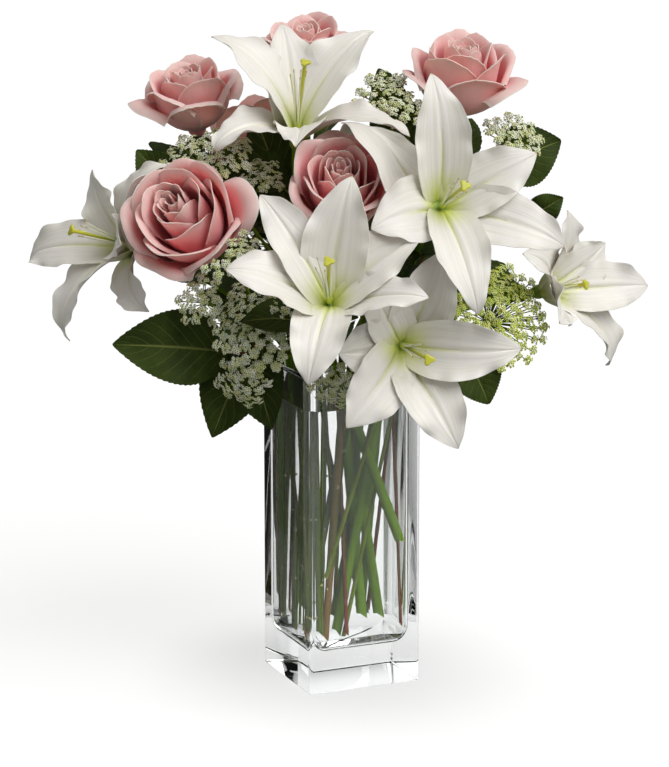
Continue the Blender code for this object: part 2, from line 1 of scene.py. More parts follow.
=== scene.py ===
"""Dresses the flowers in a vase: roses, lilies and lace flowers with their leaves, in a square glass of water.

Laid out as a Blender add-on and run as a script. Every piece stands for the node of the part whose name it carries.
Flower places are (right, back, up) in the bouquet's own frame in millimetres, and stems stand in the vase's frame.
"""

import math
import random

import bmesh
import bpy
import numpy as np
from mathutils import Matrix, Vector
from mathutils.bvhtree import BVHTree


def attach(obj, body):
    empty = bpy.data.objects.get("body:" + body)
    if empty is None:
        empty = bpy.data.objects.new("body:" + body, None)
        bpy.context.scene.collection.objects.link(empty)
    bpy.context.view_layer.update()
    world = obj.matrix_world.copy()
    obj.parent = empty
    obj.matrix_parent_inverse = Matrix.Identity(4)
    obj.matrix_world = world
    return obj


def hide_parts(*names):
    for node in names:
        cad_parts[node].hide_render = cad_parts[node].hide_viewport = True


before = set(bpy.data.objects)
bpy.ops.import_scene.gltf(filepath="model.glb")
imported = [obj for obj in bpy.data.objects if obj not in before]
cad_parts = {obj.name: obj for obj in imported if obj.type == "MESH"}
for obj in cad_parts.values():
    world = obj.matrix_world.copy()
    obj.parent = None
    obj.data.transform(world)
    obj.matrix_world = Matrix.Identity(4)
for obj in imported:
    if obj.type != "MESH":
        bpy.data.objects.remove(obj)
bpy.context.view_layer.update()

bl_info = {
    "name": "Flowers in a Vase",
    "version": (1, 0, 0),
    "blender": (4, 5, 0),
    "location": "View3D > Sidebar > Flowers",
    "description": "Makes roses, lilies and lace flowers standing in a square glass vase",
    "category": "Add Mesh",
}

MM = 0.001
SEED = 7
GOLDEN = math.radians(137.508)
TURN = np.array(Matrix.Rotation(math.radians(-23.7), 3, "Z"))

# Vase and water, in metres
VASE_SIDE = 0.090
VASE_HEIGHT = 0.240
WALL = 0.0060
FLOOR_THICKNESS = 0.030
WATER_LEVEL = 0.215
OUTER_CORNER = 0.0030
INNER_CORNER = 0.0110
INNER_FLOOR_ROUND = 0.0130
RIM_ROUND = 0.0015
INNER_HALF = VASE_SIDE / 2 - WALL

# Each lily: place of the throat, yaw to the right of the front, lift above the horizon, and its six tepals as
# (turn about the flower's axis, length, width, opening at the root, opening at the tip).
LILIES = {
    "lily_top": ((-32, -22, 410), 8, 66, (
        (100, 88, 42, 16, 62), (150, 100, 42, 18, 80), (203, 84, 36, 38, 140),
        (272, 52, 40, 30, 120), (337, 90, 36, 44, 112), (34, 100, 46, 18, 78))),
    "lily_right": ((70, -75, 369), 12, 26, (
        (94, 102, 42, 35, 85), (20, 78, 44, 42, 95), (-26, 100, 44, 40, 110),
        (-84, 92, 40, 40, 116), (195, 66, 50, 38, 105), (138, 84, 44, 84, 112))),
    "lily_centre": ((-8, -105, 304), -3, 42, (
        (79, 97, 48, 27, 62), (130, 97, 38, 29, 98), (179, 88, 46, 31, 80),
        (262, 74, 42, 38, 145), (345, 84, 36, 36, 88), (28, 84, 44, 36, 100))),
    "lily_low": ((42, -85, 273), 14, 6, (
        (66, 76, 46, 48, 100), (-5, 88, 44, 38, 92), (-68, 88, 44, 44, 92),
        (228, 74, 44, 50, 100), (183, 52, 48, 48, 95), (122, 56, 36, 50, 110))),
    "lily_left": ((-149, -15, 330), -62, 22, (
        (62, 84, 40, 34, 140), (122, 64, 36, 30, 70), (206, 96, 38, 24, 92),
        (262, 92, 38, 34, 125), (312, 60, 36, 60, 140), (8, 64, 36, 30, 100))),
    "lily_far_right": ((147, -5, 296), 62, 16, (
        (85, 66, 40, 30, 85), (30, 60, 42, 30, 70), (-18, 88, 40, 26, 66),
        (-62, 88, 36, 36, 125), (200, 60, 40, 30, 90), (140, 60, 36, 40, 120))),
    "lily_back": ((10, 98, 330), 172, 38, (
        (90, 84, 42, 34, 90), (30, 84, 42, 34, 100), (-30, 84, 42, 34, 105),
        (-90, 80, 42, 38, 120), (210, 84, 42, 34, 100), (150, 84, 42, 34, 95))),
}

# Lengths of the styles that are shorter than the others, as shares of theirs
STYLES = {"lily_far_right": 0.5, "lily_left": 0.8}

# Each rose: middle of the head, yaw, lift, radius, how far the heart sits to the right and up as shares of the
# radius, turn of the last petal, and how far the outer petals lean out, in degrees.
ROSES = {
    "rose_left": ((-110, -72, 361), -14, 28, 45, (-0.26, 0.22), 20, 24),
    "rose_centre": ((0, -64, 387), 0, 42, 40, (-0.02, 0.10), 250, 22),
    "rose_top_left": ((-110, 5, 443), -30, 74, 37, (-0.10, 0.05), 215, 44),
    "rose_top": ((-27, 30, 474), -2, 72, 34, (0.05, 0.05), 180, 34),
    "rose_top_right": ((88, 0, 459), 14, 75, 42, (0.05, 0.05), -25, 46),
    "rose_back": ((-62, 88, 398), 200, 42, 40, (0.05, 0.10), 90, 26),
}

# Stems in the vase's own frame: cut foot (x, y, z), place in the mouth (x, y), and lead, the length over which the
# stem keeps its slant above the rim.
STEMS = {
    "lily_top": ((12, 2, 44), (-4, 8), 60),
    "lily_right": ((-4, 24, 40), (30, -4), 50),
    "lily_centre": ((34, -29, 106), (-18, -28), 25),
    "lily_low": ((-13, -9, 36), (28, -15), 20),
    "lily_left": ((-18, 33, 38), (-33, 20), 30),
    "lily_far_right": ((20, 33, 42), (33, 14), 30),
    "lily_back": ((29, 12, 40), (4, 31), 42),
    "rose_left": ((-33, -32, 42), (-34, -13), 41),
    "rose_centre": ((-26, -21.5, 35), (-8.5, -20), 111),
    "rose_top_left": ((-34, 14, 44), (-33, 3), 70),
    "rose_top": ((-24, 4, 36), (-12, 18), 80),
    "rose_top_right": ((-33.5, -20.5, 90), (12, 3), 79),
    "rose_back": ((21, 23, 42), (-24, 31), 60),
}

# Each lace flower: its stem as above with the yaw and lift at its end, then its heads as (middle of the dome, yaw,
# lift, radius).
LACE = {
    "lace_left": (((-26.5, -4, 80), (-28.5, -28.5), 51, (-44, 46)), (
        ((-99, -35, 404), -15, 50, 36), ((-57, -25, 388), 0, 50, 17))),
    "lace_front": (((-1, 15.5, 38), (-26, -19), 16, (-20, 63)), (
        ((-59, -92, 292), -10, 30, 38), ((-79, -100, 345), -10, 40, 24), ((-103, -80, 307), -30, 30, 20))),
    "lace_drooping": (((-29.5, -36, 88), (23, -35), 14, (-12, -22)), (
        ((-72, -85, 243), -20, -20, 22), ((-2, -74, 238), 0, -25, 22))),
    "lace_top": (((6, 35.5, 40), (28, 31), 135, (75, 69)), (((41, -10, 447), 0, 60, 34),)),
    "lace_right": (((-6.5, 3, 36), (15.5, 20), 60, (13, 52)), (((128, -10, 416), 25, 50, 24),)),
    "lace_low_right": (((-8.5, -15, 36), (36, -23.5), 46, (7, 35)), (((122, -42, 288), 30, 25, 42),)),
    "lace_back": (((-16.5, 7, 36), (12.5, 23.5), 48, (128, 17)), (
        ((75, 80, 392), 140, 45, 36), ((-60, 95, 320), 210, 20, 26))),
}

# Each leafy sprig: its stem as for the lace, then its leaves as (base, tip, width, yaw and lift of the blade's face).
SPRIGS = {
    "sprig_left": (((-7.5, -20.5, 37), (-13, -12.5), 14, (-103, 1)), (
        ((-82, -45, 259), (-165, -62, 268), 54, (-10, 20)), ((-60, -30, 268), (-94, -54, 197), 50, (-20, -5)))),
    "sprig_right": (((35.5, -25.5, 40), (35.5, 4.5), 24, (117, 38)), (
        ((114, 20, 385), (163, 25, 404), 46, (20, 20)), ((140, 12, 350), (164, 10, 364), 22, (20, 10)))),
    "sprig_low": (((27, 35.5, 42), (34, -18), 13, (65, -58)), (((92, -40, 254), (108, -45, 220), 34, (10, 10)),)),
    "sprig_top_left": (((-35.5, 20, 42), (-32.5, 34.5), 70, (-86, 52)), (
        ((-118, -18, 370), (-148, -15, 403), 32, (-20, 30)), ((-40, 14, 360), (-66, 6, 430), 42, (-5, 35)))),
    "sprig_back": (((0.5, 35.5, 40), (10, 35.5), 39, (118, -40)), (
        ((40, 80, 300), (92, 108, 262), 54, (160, 30)), ((-45, 82, 268), (-92, 100, 226), 54, (200, 20)))),
}

# Further small leaves on the same sprigs, written the same way.
SMALL_LEAVES = {
    "sprig_left": (((-64, -38, 266), (-50, -66, 206), 42, (-15, 5)),),
    "sprig_right": (((54, 18, 398), (28, 20, 458), 46, (0, 20)),),
    "sprig_top_left": (((-62, 8, 345), (-98, -2, 392), 38, (-5, 25)),),
}

blooms = []


class VaseSettings(bpy.types.PropertyGroup):
    """The glass and the water."""

    glass_tint: bpy.props.FloatVectorProperty(
        name="Glass tint", description="Colour that light takes on in the glass",
        default=(0.985, 0.995, 0.992), min=0, max=1, subtype="COLOR")
    glass_index: bpy.props.FloatProperty(
        name="Glass index", description="How strongly the glass bends light", default=1.5, min=1, max=2)
    water_tint: bpy.props.FloatVectorProperty(
        name="Water tint", description="Colour that light takes on in the water",
        default=(0.985, 0.995, 0.99), min=0, max=1, subtype="COLOR")


class LilySettings(bpy.types.PropertyGroup):
    """The lilies' tepals and hearts."""

    white: bpy.props.FloatVectorProperty(
        name="White", description="Colour of the tepals", default=(0.90, 0.865, 0.805), min=0, max=1, subtype="COLOR")
    throat: bpy.props.FloatVectorProperty(
        name="Throat", description="Yellow green deep in the flower", default=(0.60, 0.66, 0.10), min=0, max=1,
        subtype="COLOR")
    ruffle: bpy.props.FloatProperty(
        name="Ruffle", description="How far the edges wave", default=2.5 * MM, min=0, unit="LENGTH")
    rib: bpy.props.FloatProperty(
        name="Rib", description="Height of the ribs beside the midrib", default=1.0 * MM, min=0, unit="LENGTH")


class RoseSettings(bpy.types.PropertyGroup):
    """The roses' petals."""

    petals: bpy.props.IntProperty(name="Petals", description="Number of petals in a head", default=28, min=16, max=60)
    # Painted shade: the deeper, darker pink that each petal is painted towards its root, where shade falls between the
    # petals.
    painted_shade_pink: bpy.props.FloatVectorProperty(
        name="Heart pink", description="Colour deep between the petals", default=(0.92, 0.30, 0.33), min=0, max=1,
        subtype="COLOR")
    petal_pink: bpy.props.FloatVectorProperty(
        name="Petal pink", description="Colour of the petals' faces", default=(0.95, 0.57, 0.54), min=0, max=1,
        subtype="COLOR")
    rim_cream: bpy.props.FloatVectorProperty(
        name="Rim cream", description="Colour of the petals' rims", default=(0.95, 0.78, 0.68), min=0, max=1,
        subtype="COLOR")


class LaceSettings(bpy.types.PropertyGroup):
    """The lace flowers' heads."""

    floret: bpy.props.FloatProperty(
        name="Floret", description="Width of a floret", default=2.7 * MM, min=0, unit="LENGTH")
    florets: bpy.props.IntProperty(
        name="Florets", description="Number of florets at the end of a ray", default=16, min=3, max=40)
    white: bpy.props.FloatVectorProperty(
        name="White", description="Colour of the florets", default=(1.0, 0.99, 0.84), min=0, max=1, subtype="COLOR")
    green: bpy.props.FloatVectorProperty(
        name="Green", description="Colour of the rays and of the florets' middles", default=(0.15, 0.22, 0.02),
        min=0, max=1, subtype="COLOR")


class LeafSettings(bpy.types.PropertyGroup):
    """Leaves and stems."""

    leaf_green: bpy.props.FloatVectorProperty(
        name="Leaf green", description="Colour of the leaves' faces", default=(0.028, 0.046, 0.007), min=0, max=1,
        subtype="COLOR")
    vein_green: bpy.props.FloatVectorProperty(
        name="Vein green", description="Colour of the veins", default=(0.20, 0.23, 0.06), min=0, max=1,
        subtype="COLOR")
    teeth: bpy.props.IntProperty(name="Teeth", description="Teeth along a leaf's edge", default=22, min=4, max=40)
    lily_stem: bpy.props.FloatVectorProperty(
        name="Lily stem", description="Colour of the lilies' stems", default=(0.16, 0.29, 0.015), min=0, max=1,
        subtype="COLOR")
    rose_stem: bpy.props.FloatVectorProperty(
        name="Rose stem", description="Colour of the roses' stems", default=(0.11, 0.15, 0.03), min=0, max=1,
        subtype="COLOR")
    twig: bpy.props.FloatVectorProperty(
        name="Twig", description="Colour of the leafy sprigs' twigs", default=(0.20, 0.045, 0.025), min=0, max=1,
        subtype="COLOR")


class StageSettings(bpy.types.PropertyGroup):
    """Floor, light and camera."""

    floor: bpy.props.FloatVectorProperty(
        name="Floor", description="Colour of the floor", default=(0.34, 0.34, 0.34), min=0, max=1, subtype="COLOR")
    glow: bpy.props.FloatProperty(
        name="Floor glow", description="How far the floor shines to the eye, as paper lit from below", default=0.72, min=0)
    key: bpy.props.FloatProperty(
        name="Key light", description="Strength of the large soft light", default=2.55, min=0)
    fill: bpy.props.FloatProperty(
        name="Fill", description="Brightness of the room around", default=0.28, min=0)


SETTINGS = {
    "flowers_vase": VaseSettings,
    "flowers_lily": LilySettings,
    "flowers_rose": RoseSettings,
    "flowers_lace": LaceSettings,
    "flowers_leaf": LeafSettings,
    "flowers_stage": StageSettings,
}


def settings(name):
    """The scene's values of one property group."""
    return getattr(bpy.context.scene, "flowers_" + name)


def place(spot):
    """A place in the bouquet's frame, in millimetres, as a point of the part's frame."""
    return TURN @ (np.array(spot, float) * MM)


def unit(vectors):
    return vectors / np.maximum(np.linalg.norm(vectors, axis=-1, keepdims=True), 1e-9)


def facing(yaw, lift):
    """The unit direction that a flower looks in."""
    side, rise = math.radians(yaw), math.radians(lift)
    return TURN @ np.array((math.sin(side) * math.cos(rise), -math.cos(side) * math.cos(rise), math.sin(rise)))


def across(axis):
    """Right and up, seen by someone whom the axis points at."""
    right = unit(np.cross((0, 0, 1), axis))
    return right, np.cross(axis, right)


def outwards(axis, angle):
    """The direction at that angle round the axis. Angles may be an array."""
    right, up = across(axis)
    return np.multiply.outer(np.cos(angle), right) + np.multiply.outer(np.sin(angle), up)


def eased(values):
    """Zero to one with a soft start and end."""
    held = np.clip(values, 0, 1)
    return held * held * (3 - 2 * held)


def bent_clear(points):
    """The points moved out of the round space that each rose's head fills."""
    for spot, yaw, lift, radius, *_ in ROSES.values():
        room = 1.04 * radius * MM
        away = points - place(spot)
        distance = np.linalg.norm(away, axis=1, keepdims=True)
        near = distance < 2 * room
        points = np.where(near, place(spot) + away * ((distance**6 + room**6) ** (1 / 6) / distance), points)
    return points


class Gathered:
    """Faces gathered from many blades and tubes, with a value per point for each named mark."""

    def __init__(self, *labels):
        self.points = []
        self.faces = []
        self.marks = {label: [] for label in labels}
        self.count = 0

    def add(self, points, faces, **marks):
        """Take one more closed surface in. A mark is an array or one value for all its points."""
        self.points.append(points)
        self.faces.extend([[corner + self.count for corner in face] for face in faces])
        for label, values in self.marks.items():
            values.append(np.broadcast_to(marks.get(label, 0.0), len(points)))
        self.count += len(points)

    def add_mesh(self, mesh, **others):
        """Take a whole mesh in, with the marks that it carries and others set to one value."""
        count = len(mesh.vertices)
        points = np.empty(count * 3)
        mesh.vertices.foreach_get("co", points)
        marks = {}
        for label in self.marks:
            if label in mesh.attributes:
                values = np.empty(count)
                mesh.attributes[label].data.foreach_get("value", values)
                marks[label] = values
        self.add(points.reshape(-1, 3), [list(face.vertices) for face in mesh.polygons], **{**marks, **others})

    def mesh(self, name, sharp=60):
        """One smooth-shaded mesh of everything gathered."""
        made = bpy.data.meshes.new(name)
        made.from_pydata(np.concatenate(self.points).tolist(), [], self.faces)
        for label, values in self.marks.items():
            made.attributes.new(label, "FLOAT", "POINT").data.foreach_set("value", np.concatenate(values))
        made.shade_smooth()
        made.set_sharp_from_angle(angle=math.radians(sharp))
        return made


def blade(gathered, surface, rows, columns, thickness, **marks):
    """Add a thin closed blade. surface gives points at u from -1 to 1 across and t from 0 to 1 along."""
    u, t = np.meshgrid(np.linspace(-1, 1, columns), np.linspace(0, 1, rows))
    middle = surface(u.ravel(), t.ravel()).reshape(rows, columns, 3)
    normal = unit(np.cross(np.gradient(middle, axis=1), np.gradient(middle, axis=0)))
    half = normal * (thickness / 2 * (1 - 0.55 * np.abs(u) ** 5))[..., None]
    points = np.concatenate([(middle + half).reshape(-1, 3), (middle - half).reshape(-1, 3)])
    index = np.arange(rows * columns).reshape(rows, columns)
    quads = np.stack([index[:-1, :-1], index[:-1, 1:], index[1:, 1:], index[1:, :-1]], -1).reshape(-1, 4)
    rim = np.concatenate([index[0, :-1], index[:-1, -1], index[-1, :0:-1], index[:0:-1, 0]])
    after = np.roll(rim, -1)
    count = rows * columns
    walls = np.stack([after, rim, rim + count, after + count], -1)
    faces = np.concatenate([quads, quads[:, ::-1] + count, walls]).tolist()
    side = np.repeat([1.0, 0.0], count)
    gathered.add(points, faces, across=np.tile(u.ravel(), 2), along=np.tile(t.ravel(), 2), side=side, **marks)


class NodeTree:
    """Adds nodes to a tree and joins their sockets."""

    def __init__(self, tree):
        self.tree = tree

    def add(self, kind, inputs=(), **choices):
        """A new node. An input is set to a value, or joined where the value is another node's output."""
        node = self.tree.nodes.new(kind)
        for name, value in choices.items():
            setattr(node, name, value)
        for socket, value in dict(inputs).items():
            if isinstance(value, bpy.types.NodeSocket):
                self.tree.links.new(value, node.inputs[socket])
            else:
                node.inputs[socket].default_value = value
        return node

    def mark(self, label):
        """The value that the piece's points carry under this name."""
        return self.add("ShaderNodeAttribute", attribute_name=label).outputs["Fac"]

    def sum(self, operation, *values):
        """A Math node's result."""
        return self.add("ShaderNodeMath", enumerate(values), operation=operation).outputs[0]

    def range(self, value, low, high, start=0.0, end=1.0):
        """The value mapped smoothly from low..high to start..end."""
        inputs = {"Value": value, "From Min": low, "From Max": high, "To Min": start, "To Max": end}
        return self.add("ShaderNodeMapRange", inputs, interpolation_type="SMOOTHSTEP").outputs["Result"]

    def mix(self, share, first, second):
        """The second colour over the first by that share."""
        return self.add("ShaderNodeMix", {0: share, 6: first, 7: second}, data_type="RGBA").outputs[2]

    def noise(self, scale, detail=2.0, vector=None):
        """A noise pattern, on the piece's own place unless a vector is given."""
        if vector is None:
            vector = self.add("ShaderNodeTexCoord").outputs["Object"]
        return self.add("ShaderNodeTexNoise", {"Vector": vector, "Scale": scale, "Detail": detail}).outputs["Fac"]

    def bump(self, height, distance, strength=1.0):
        inputs = {"Height": height, "Distance": distance, "Strength": strength}
        return self.add("ShaderNodeBump", inputs).outputs["Normal"]


def material(name, roughness, **sockets):
    """A new Principled material, its tree's helper and its shader."""
    made = bpy.data.materials.new(name)
    made.use_nodes = True
    shader = made.node_tree.nodes["Principled BSDF"]
    shader.inputs["Roughness"].default_value = roughness
    for socket, value in sockets.items():
        shader.inputs[socket.replace("_", " ")].default_value = value
    return made, NodeTree(made.node_tree), shader


def join(tree, output, socket):
    tree.tree.links.new(output, socket)


def clear_material(name, tint, index, shine):
    """Glass or water."""
    made, tree, shader = material(
        name, 0.0, IOR=index, Transmission_Weight=1.0, Base_Color=(*tint, 1), Specular_IOR_Level=shine)
    ripple = tree.noise(60, 1)
    join(tree, tree.bump(ripple, 0.02 * MM, 0.3), shader.inputs["Normal"])
    return made


def lily_material():
    """White tepals, yellow green in the throat and along the midrib, with fine lengthwise veins."""
    values = settings("lily")
    made, tree, shader = material(
        "lily_tepal", 0.42, Subsurface_Weight=0.15, Subsurface_Scale=3 * MM, Subsurface_Radius=(1.0, 0.95, 0.7))
    along, edge = tree.mark("along"), tree.sum("ABSOLUTE", tree.mark("across"))
    lengthwise = tree.add("ShaderNodeCombineXYZ", {
        "X": tree.sum("MULTIPLY", tree.mark("across"), 9.0), "Y": tree.sum("MULTIPLY", along, 1.3),
        "Z": tree.mark("ring")}).outputs[0]
    veins = tree.noise(1.6, 3, lengthwise)
    patches = tree.noise(45, 2)
    colour = tree.mix(tree.range(veins, 0.35, 0.75), (*values.white, 1), (0.82, 0.80, 0.70, 1))
    colour = tree.mix(tree.range(patches, 0.45, 0.8, 0, 0.5), colour, (0.83, 0.78, 0.76, 1))
    throat = tree.sum("MULTIPLY", tree.range(along, 0.36, 0.04), tree.range(edge, 1.0, 0.15, 0.35, 1.0))
    colour = tree.mix(throat, colour, (*values.throat, 1))
    rib = tree.sum("MULTIPLY", tree.range(edge, 0.13, 0.02), tree.range(along, 0.75, 0.08, 0, 0.75))
    colour = tree.mix(rib, colour, (0.66, 0.72, 0.24, 1))
    colour = tree.mix(tree.range(along, 0.09, 0.0), colour, (0.22, 0.33, 0.03, 1))
    colour = tree.mix(tree.range(along, 0.975, 1.0, 0, 0.8), colour, (0.55, 0.40, 0.12, 1))
    join(tree, colour, shader.inputs["Base Color"])
    join(tree, tree.bump(veins, 0.5 * MM, 0.5), shader.inputs["Normal"])
    return made


def heart_material():
    """Green ovary, yellow-green style and pale filaments with ochre ends."""
    made, tree, shader = material("lily_heart", 0.38, Subsurface_Weight=0.1, Subsurface_Scale=1.5 * MM)
    along, kind = tree.mark("along"), tree.mark("kind")
    style = tree.mix(tree.range(along, 0.05, 0.8), (0.26, 0.38, 0.05, 1), (0.60, 0.60, 0.05, 1))
    filament = tree.mix(tree.range(along, 0.0, 0.5), (0.45, 0.56, 0.14, 1), (0.80, 0.80, 0.62, 1))
    filament = tree.mix(tree.range(along, 0.93, 0.99), filament, (0.52, 0.34, 0.05, 1))
    join(tree, tree.mix(kind, style, filament), shader.inputs["Base Color"])
    join(tree, tree.bump(tree.noise(900), 0.1 * MM, 0.4), shader.inputs["Normal"])
    return made


def rose_material():
    """Pink petals with painted shade, a deeper pink towards their roots between them, cream at the rims, with fine
    veins that fan out.
    """
    values = settings("rose")
    made, tree, shader = material(
        "rose_petal", 0.5, Specular_IOR_Level=0.3, Subsurface_Weight=0.45, Subsurface_Scale=4 * MM, Subsurface_Radius=(1.0, 0.45, 0.4),
        Sheen_Weight=0.15, Sheen_Roughness=0.4)
    along, edge, ring = tree.mark("along"), tree.sum("ABSOLUTE", tree.mark("across")), tree.mark("ring")
    lengthwise = tree.add("ShaderNodeCombineXYZ", {
        "X": tree.sum("MULTIPLY", tree.mark("across"), 12.0), "Y": tree.sum("MULTIPLY", along, 1.5),
        "Z": tree.sum("MULTIPLY", ring, 40.0)}).outputs[0]
    veins = tree.noise(1.5, 3, lengthwise)
    patches = tree.noise(70, 2)
    face = tree.mix(tree.range(patches, 0.3, 0.8), (*values.petal_pink, 1), (0.95, 0.62, 0.58, 1))
    # Painted shade: towards its root each petal is painted a deeper, darker pink, for the shade deep between the
    # petals.
    colour = tree.mix(tree.range(along, 0.92, 0.45), face, (*values.painted_shade_pink, 1))
    outer = tree.mix(tree.range(along, 0.2, 0.9), (0.95, 0.40, 0.37, 1), (0.97, 0.58, 0.51, 1))
    colour = tree.mix(tree.sum(
        "MULTIPLY", tree.range(ring, 0.45, 1.0, 0.1, 0.9), tree.mark("side")), colour, outer)
    colour = tree.mix(tree.range(veins, 0.55, 0.8, 0, 0.25), colour, (0.80, 0.34, 0.36, 1))
    rim = tree.sum("MAXIMUM", tree.range(along, 0.93, 1.0), tree.range(edge, 0.93, 1.0))
    rim = tree.sum("MULTIPLY", rim, tree.range(patches, 0.25, 0.6, 0.45, 1.0))
    colour = tree.mix(rim, colour, (*values.rim_cream, 1))
    join(tree, colour, shader.inputs["Base Color"])
    join(tree, tree.bump(veins, 0.4 * MM, 0.4), shader.inputs["Normal"])
    return made


def stem_material(name, colour, second, scale, roughness=0.42):
    """A stem in two tones that run along it, paler at its cut."""
    made, tree, shader = material(name, roughness, Specular_IOR_Level=0.0)
    place_on = tree.add("ShaderNodeTexCoord").outputs["Object"]
    drawn_out = tree.add("ShaderNodeMapping", {"Vector": place_on, "Scale": (1, 1, 0.12)}).outputs[0]
    streaks = tree.noise(scale, 4, drawn_out)
    shade = tree.mix(tree.range(streaks, 0.35, 0.68), (*colour, 1), (*second, 1))
    shade = tree.mix(tree.range(tree.mark("along"), 0.0, 0.004, 0.8, 0.0), shade, (0.45, 0.44, 0.20, 1))
    join(tree, shade, shader.inputs["Base Color"])
    join(tree, tree.bump(streaks, 0.3 * MM, 0.6), shader.inputs["Normal"])
    return made


def floret_material(name, petal, second):
    """Tiny petals in two tones round a green middle."""
    values = settings("lace")
    made, tree, shader = material(name, 0.7, Specular_IOR_Level=0.1, Subsurface_Weight=0.15, Subsurface_Scale=1 * MM)
    patches = tree.noise(180, 2)
    petal = tree.mix(tree.range(patches, 0.35, 0.65), (*petal, 1), (*second, 1))
    colour = tree.mix(tree.range(tree.mark("rim"), 0.55, 0.15), petal, (*values.green, 1))
    join(tree, colour, shader.inputs["Base Color"])
    return made


def leaf_material():
    """Dark green with a pale midrib and side veins that run to the teeth, lighter underneath."""
    values = settings("leaf")
    made, tree, shader = material("leaf_blade", 0.55, Specular_IOR_Level=0.10)
    along, edge = tree.mark("along"), tree.sum("ABSOLUTE", tree.mark("across"))
    slanted = tree.sum("SUBTRACT", tree.sum("MULTIPLY", along, 8.0), tree.sum("MULTIPLY", edge, 2.6))
    wave = tree.sum("ABSOLUTE", tree.sum("SUBTRACT", tree.sum("FRACT", slanted), 0.5))
    side_veins = tree.sum("MULTIPLY", tree.range(wave, 0.07, 0.0), tree.range(edge, 1.0, 0.5))
    midrib = tree.range(edge, 0.055, 0.01, 0.0, 0.8)
    veins = tree.sum("MAXIMUM", midrib, tree.sum("MULTIPLY", side_veins, 0.4))
    net = tree.add("ShaderNodeTexVoronoi", {
        "Vector": tree.add("ShaderNodeTexCoord").outputs["Object"], "Scale": 420.0},
        feature="DISTANCE_TO_EDGE").outputs["Distance"]
    patches = tree.noise(40, 3)
    face = tree.mix(tree.range(patches, 0.35, 0.7), (*values.leaf_green, 1), (0.050, 0.078, 0.012, 1))
    face = tree.mix(tree.range(tree.mark("side"), 1.0, 0.0, 0.0, 0.7), face, (0.12, 0.17, 0.07, 1))
    join(tree, tree.mix(veins, face, (*values.vein_green, 1)), shader.inputs["Base Color"])
    height = tree.sum("SUBTRACT", tree.range(net, 0.0, 0.25, 0.0, 0.3), tree.sum("MULTIPLY", veins, 0.9))
    join(tree, tree.bump(height, 0.5 * MM, 0.7), shader.inputs["Normal"])
    return made


def finished_mesh(drawn):
    """A plain mesh of what the object's modifiers make. The object is removed."""
    bpy.context.view_layer.update()
    graph = bpy.context.evaluated_depsgraph_get()
    mesh = bpy.data.meshes.new_from_object(drawn.evaluated_get(graph))
    drawn.modifiers.clear()
    bpy.data.objects.remove(drawn)
    return mesh


def add_piece(name, mesh, finish, slot, *nodes):
    """The finished piece: it rides on the root and stands for the named nodes."""
    mesh.materials.clear()
    mesh.materials.append(finish)
    piece = bpy.data.objects.new(name, mesh)
    bpy.context.scene.collection.objects.link(piece)
    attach(piece, "root")
    if nodes:
        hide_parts(*nodes)
    return piece


def new_tree(name, sockets):
    """An empty Geometry Nodes tree with a geometry in and out and these further inputs."""
    tree = bpy.data.node_groups.new(name, "GeometryNodeTree")
    tree.interface.new_socket("Geometry", in_out="INPUT", socket_type="NodeSocketGeometry")
    for label, kind, value in sockets:
        socket = tree.interface.new_socket(label, in_out="INPUT", socket_type=kind)
        if value is not None:
            socket.default_value = value
    tree.interface.new_socket("Geometry", in_out="OUTPUT", socket_type="NodeSocketGeometry")
    return tree


def socket_named(tree, label):
    """The identifier of the tree's input with that name."""
    return next(item.identifier for item in tree.interface.items_tree
                if item.item_type == "SOCKET" and item.in_out == "INPUT" and item.name == label)


def grown(name, tree, mesh, **inputs):
    """The plain mesh that the tree grows from a mesh of paths or points."""
    drawn = bpy.data.objects.new(name, mesh)
    modifier = drawn.modifiers.new("Growth", "NODES")
    modifier.node_group = tree
    for label, value in inputs.items():
        modifier[socket_named(tree, label)] = value
    bpy.context.scene.collection.objects.link(drawn)
    return finished_mesh(drawn)


def stalk_tree():
    """Geometry Nodes: a round stalk along each path, as thick as its points say."""
    found = bpy.data.node_groups.get("Stalks along paths")
    if found:
        return found
    group = new_tree("Stalks along paths", [
        ("Sides", "NodeSocketInt", 12), ("Width share", "NodeSocketFloat", 1.0),
        ("Material", "NodeSocketMaterial", None)])
    tree = NodeTree(group)
    given = tree.add("NodeGroupInput").outputs
    path = tree.add("GeometryNodeMeshToCurve", {"Mesh": given["Geometry"]}).outputs["Curve"]
    ring = tree.add("GeometryNodeCurvePrimitiveCircle", {"Resolution": given["Sides"], "Radius": 1.0})
    thick = tree.add("GeometryNodeInputNamedAttribute", {"Name": "thick"}).outputs["Attribute"]
    scale = tree.add("ShaderNodeMath", {0: thick, 1: given["Width share"]}, operation="MULTIPLY").outputs[0]
    swept = tree.add("GeometryNodeCurveToMesh", {
        "Curve": path, "Profile Curve": ring.outputs["Curve"], "Scale": scale, "Fill Caps": True}).outputs[0]
    real = tree.add("GeometryNodeRealizeInstances", {"Geometry": swept}).outputs[0]
    dressed = tree.add("GeometryNodeSetMaterial", {"Geometry": real, "Material": given["Material"]}).outputs[0]
    tree.add("NodeGroupOutput", {"Geometry": dressed})
    return group


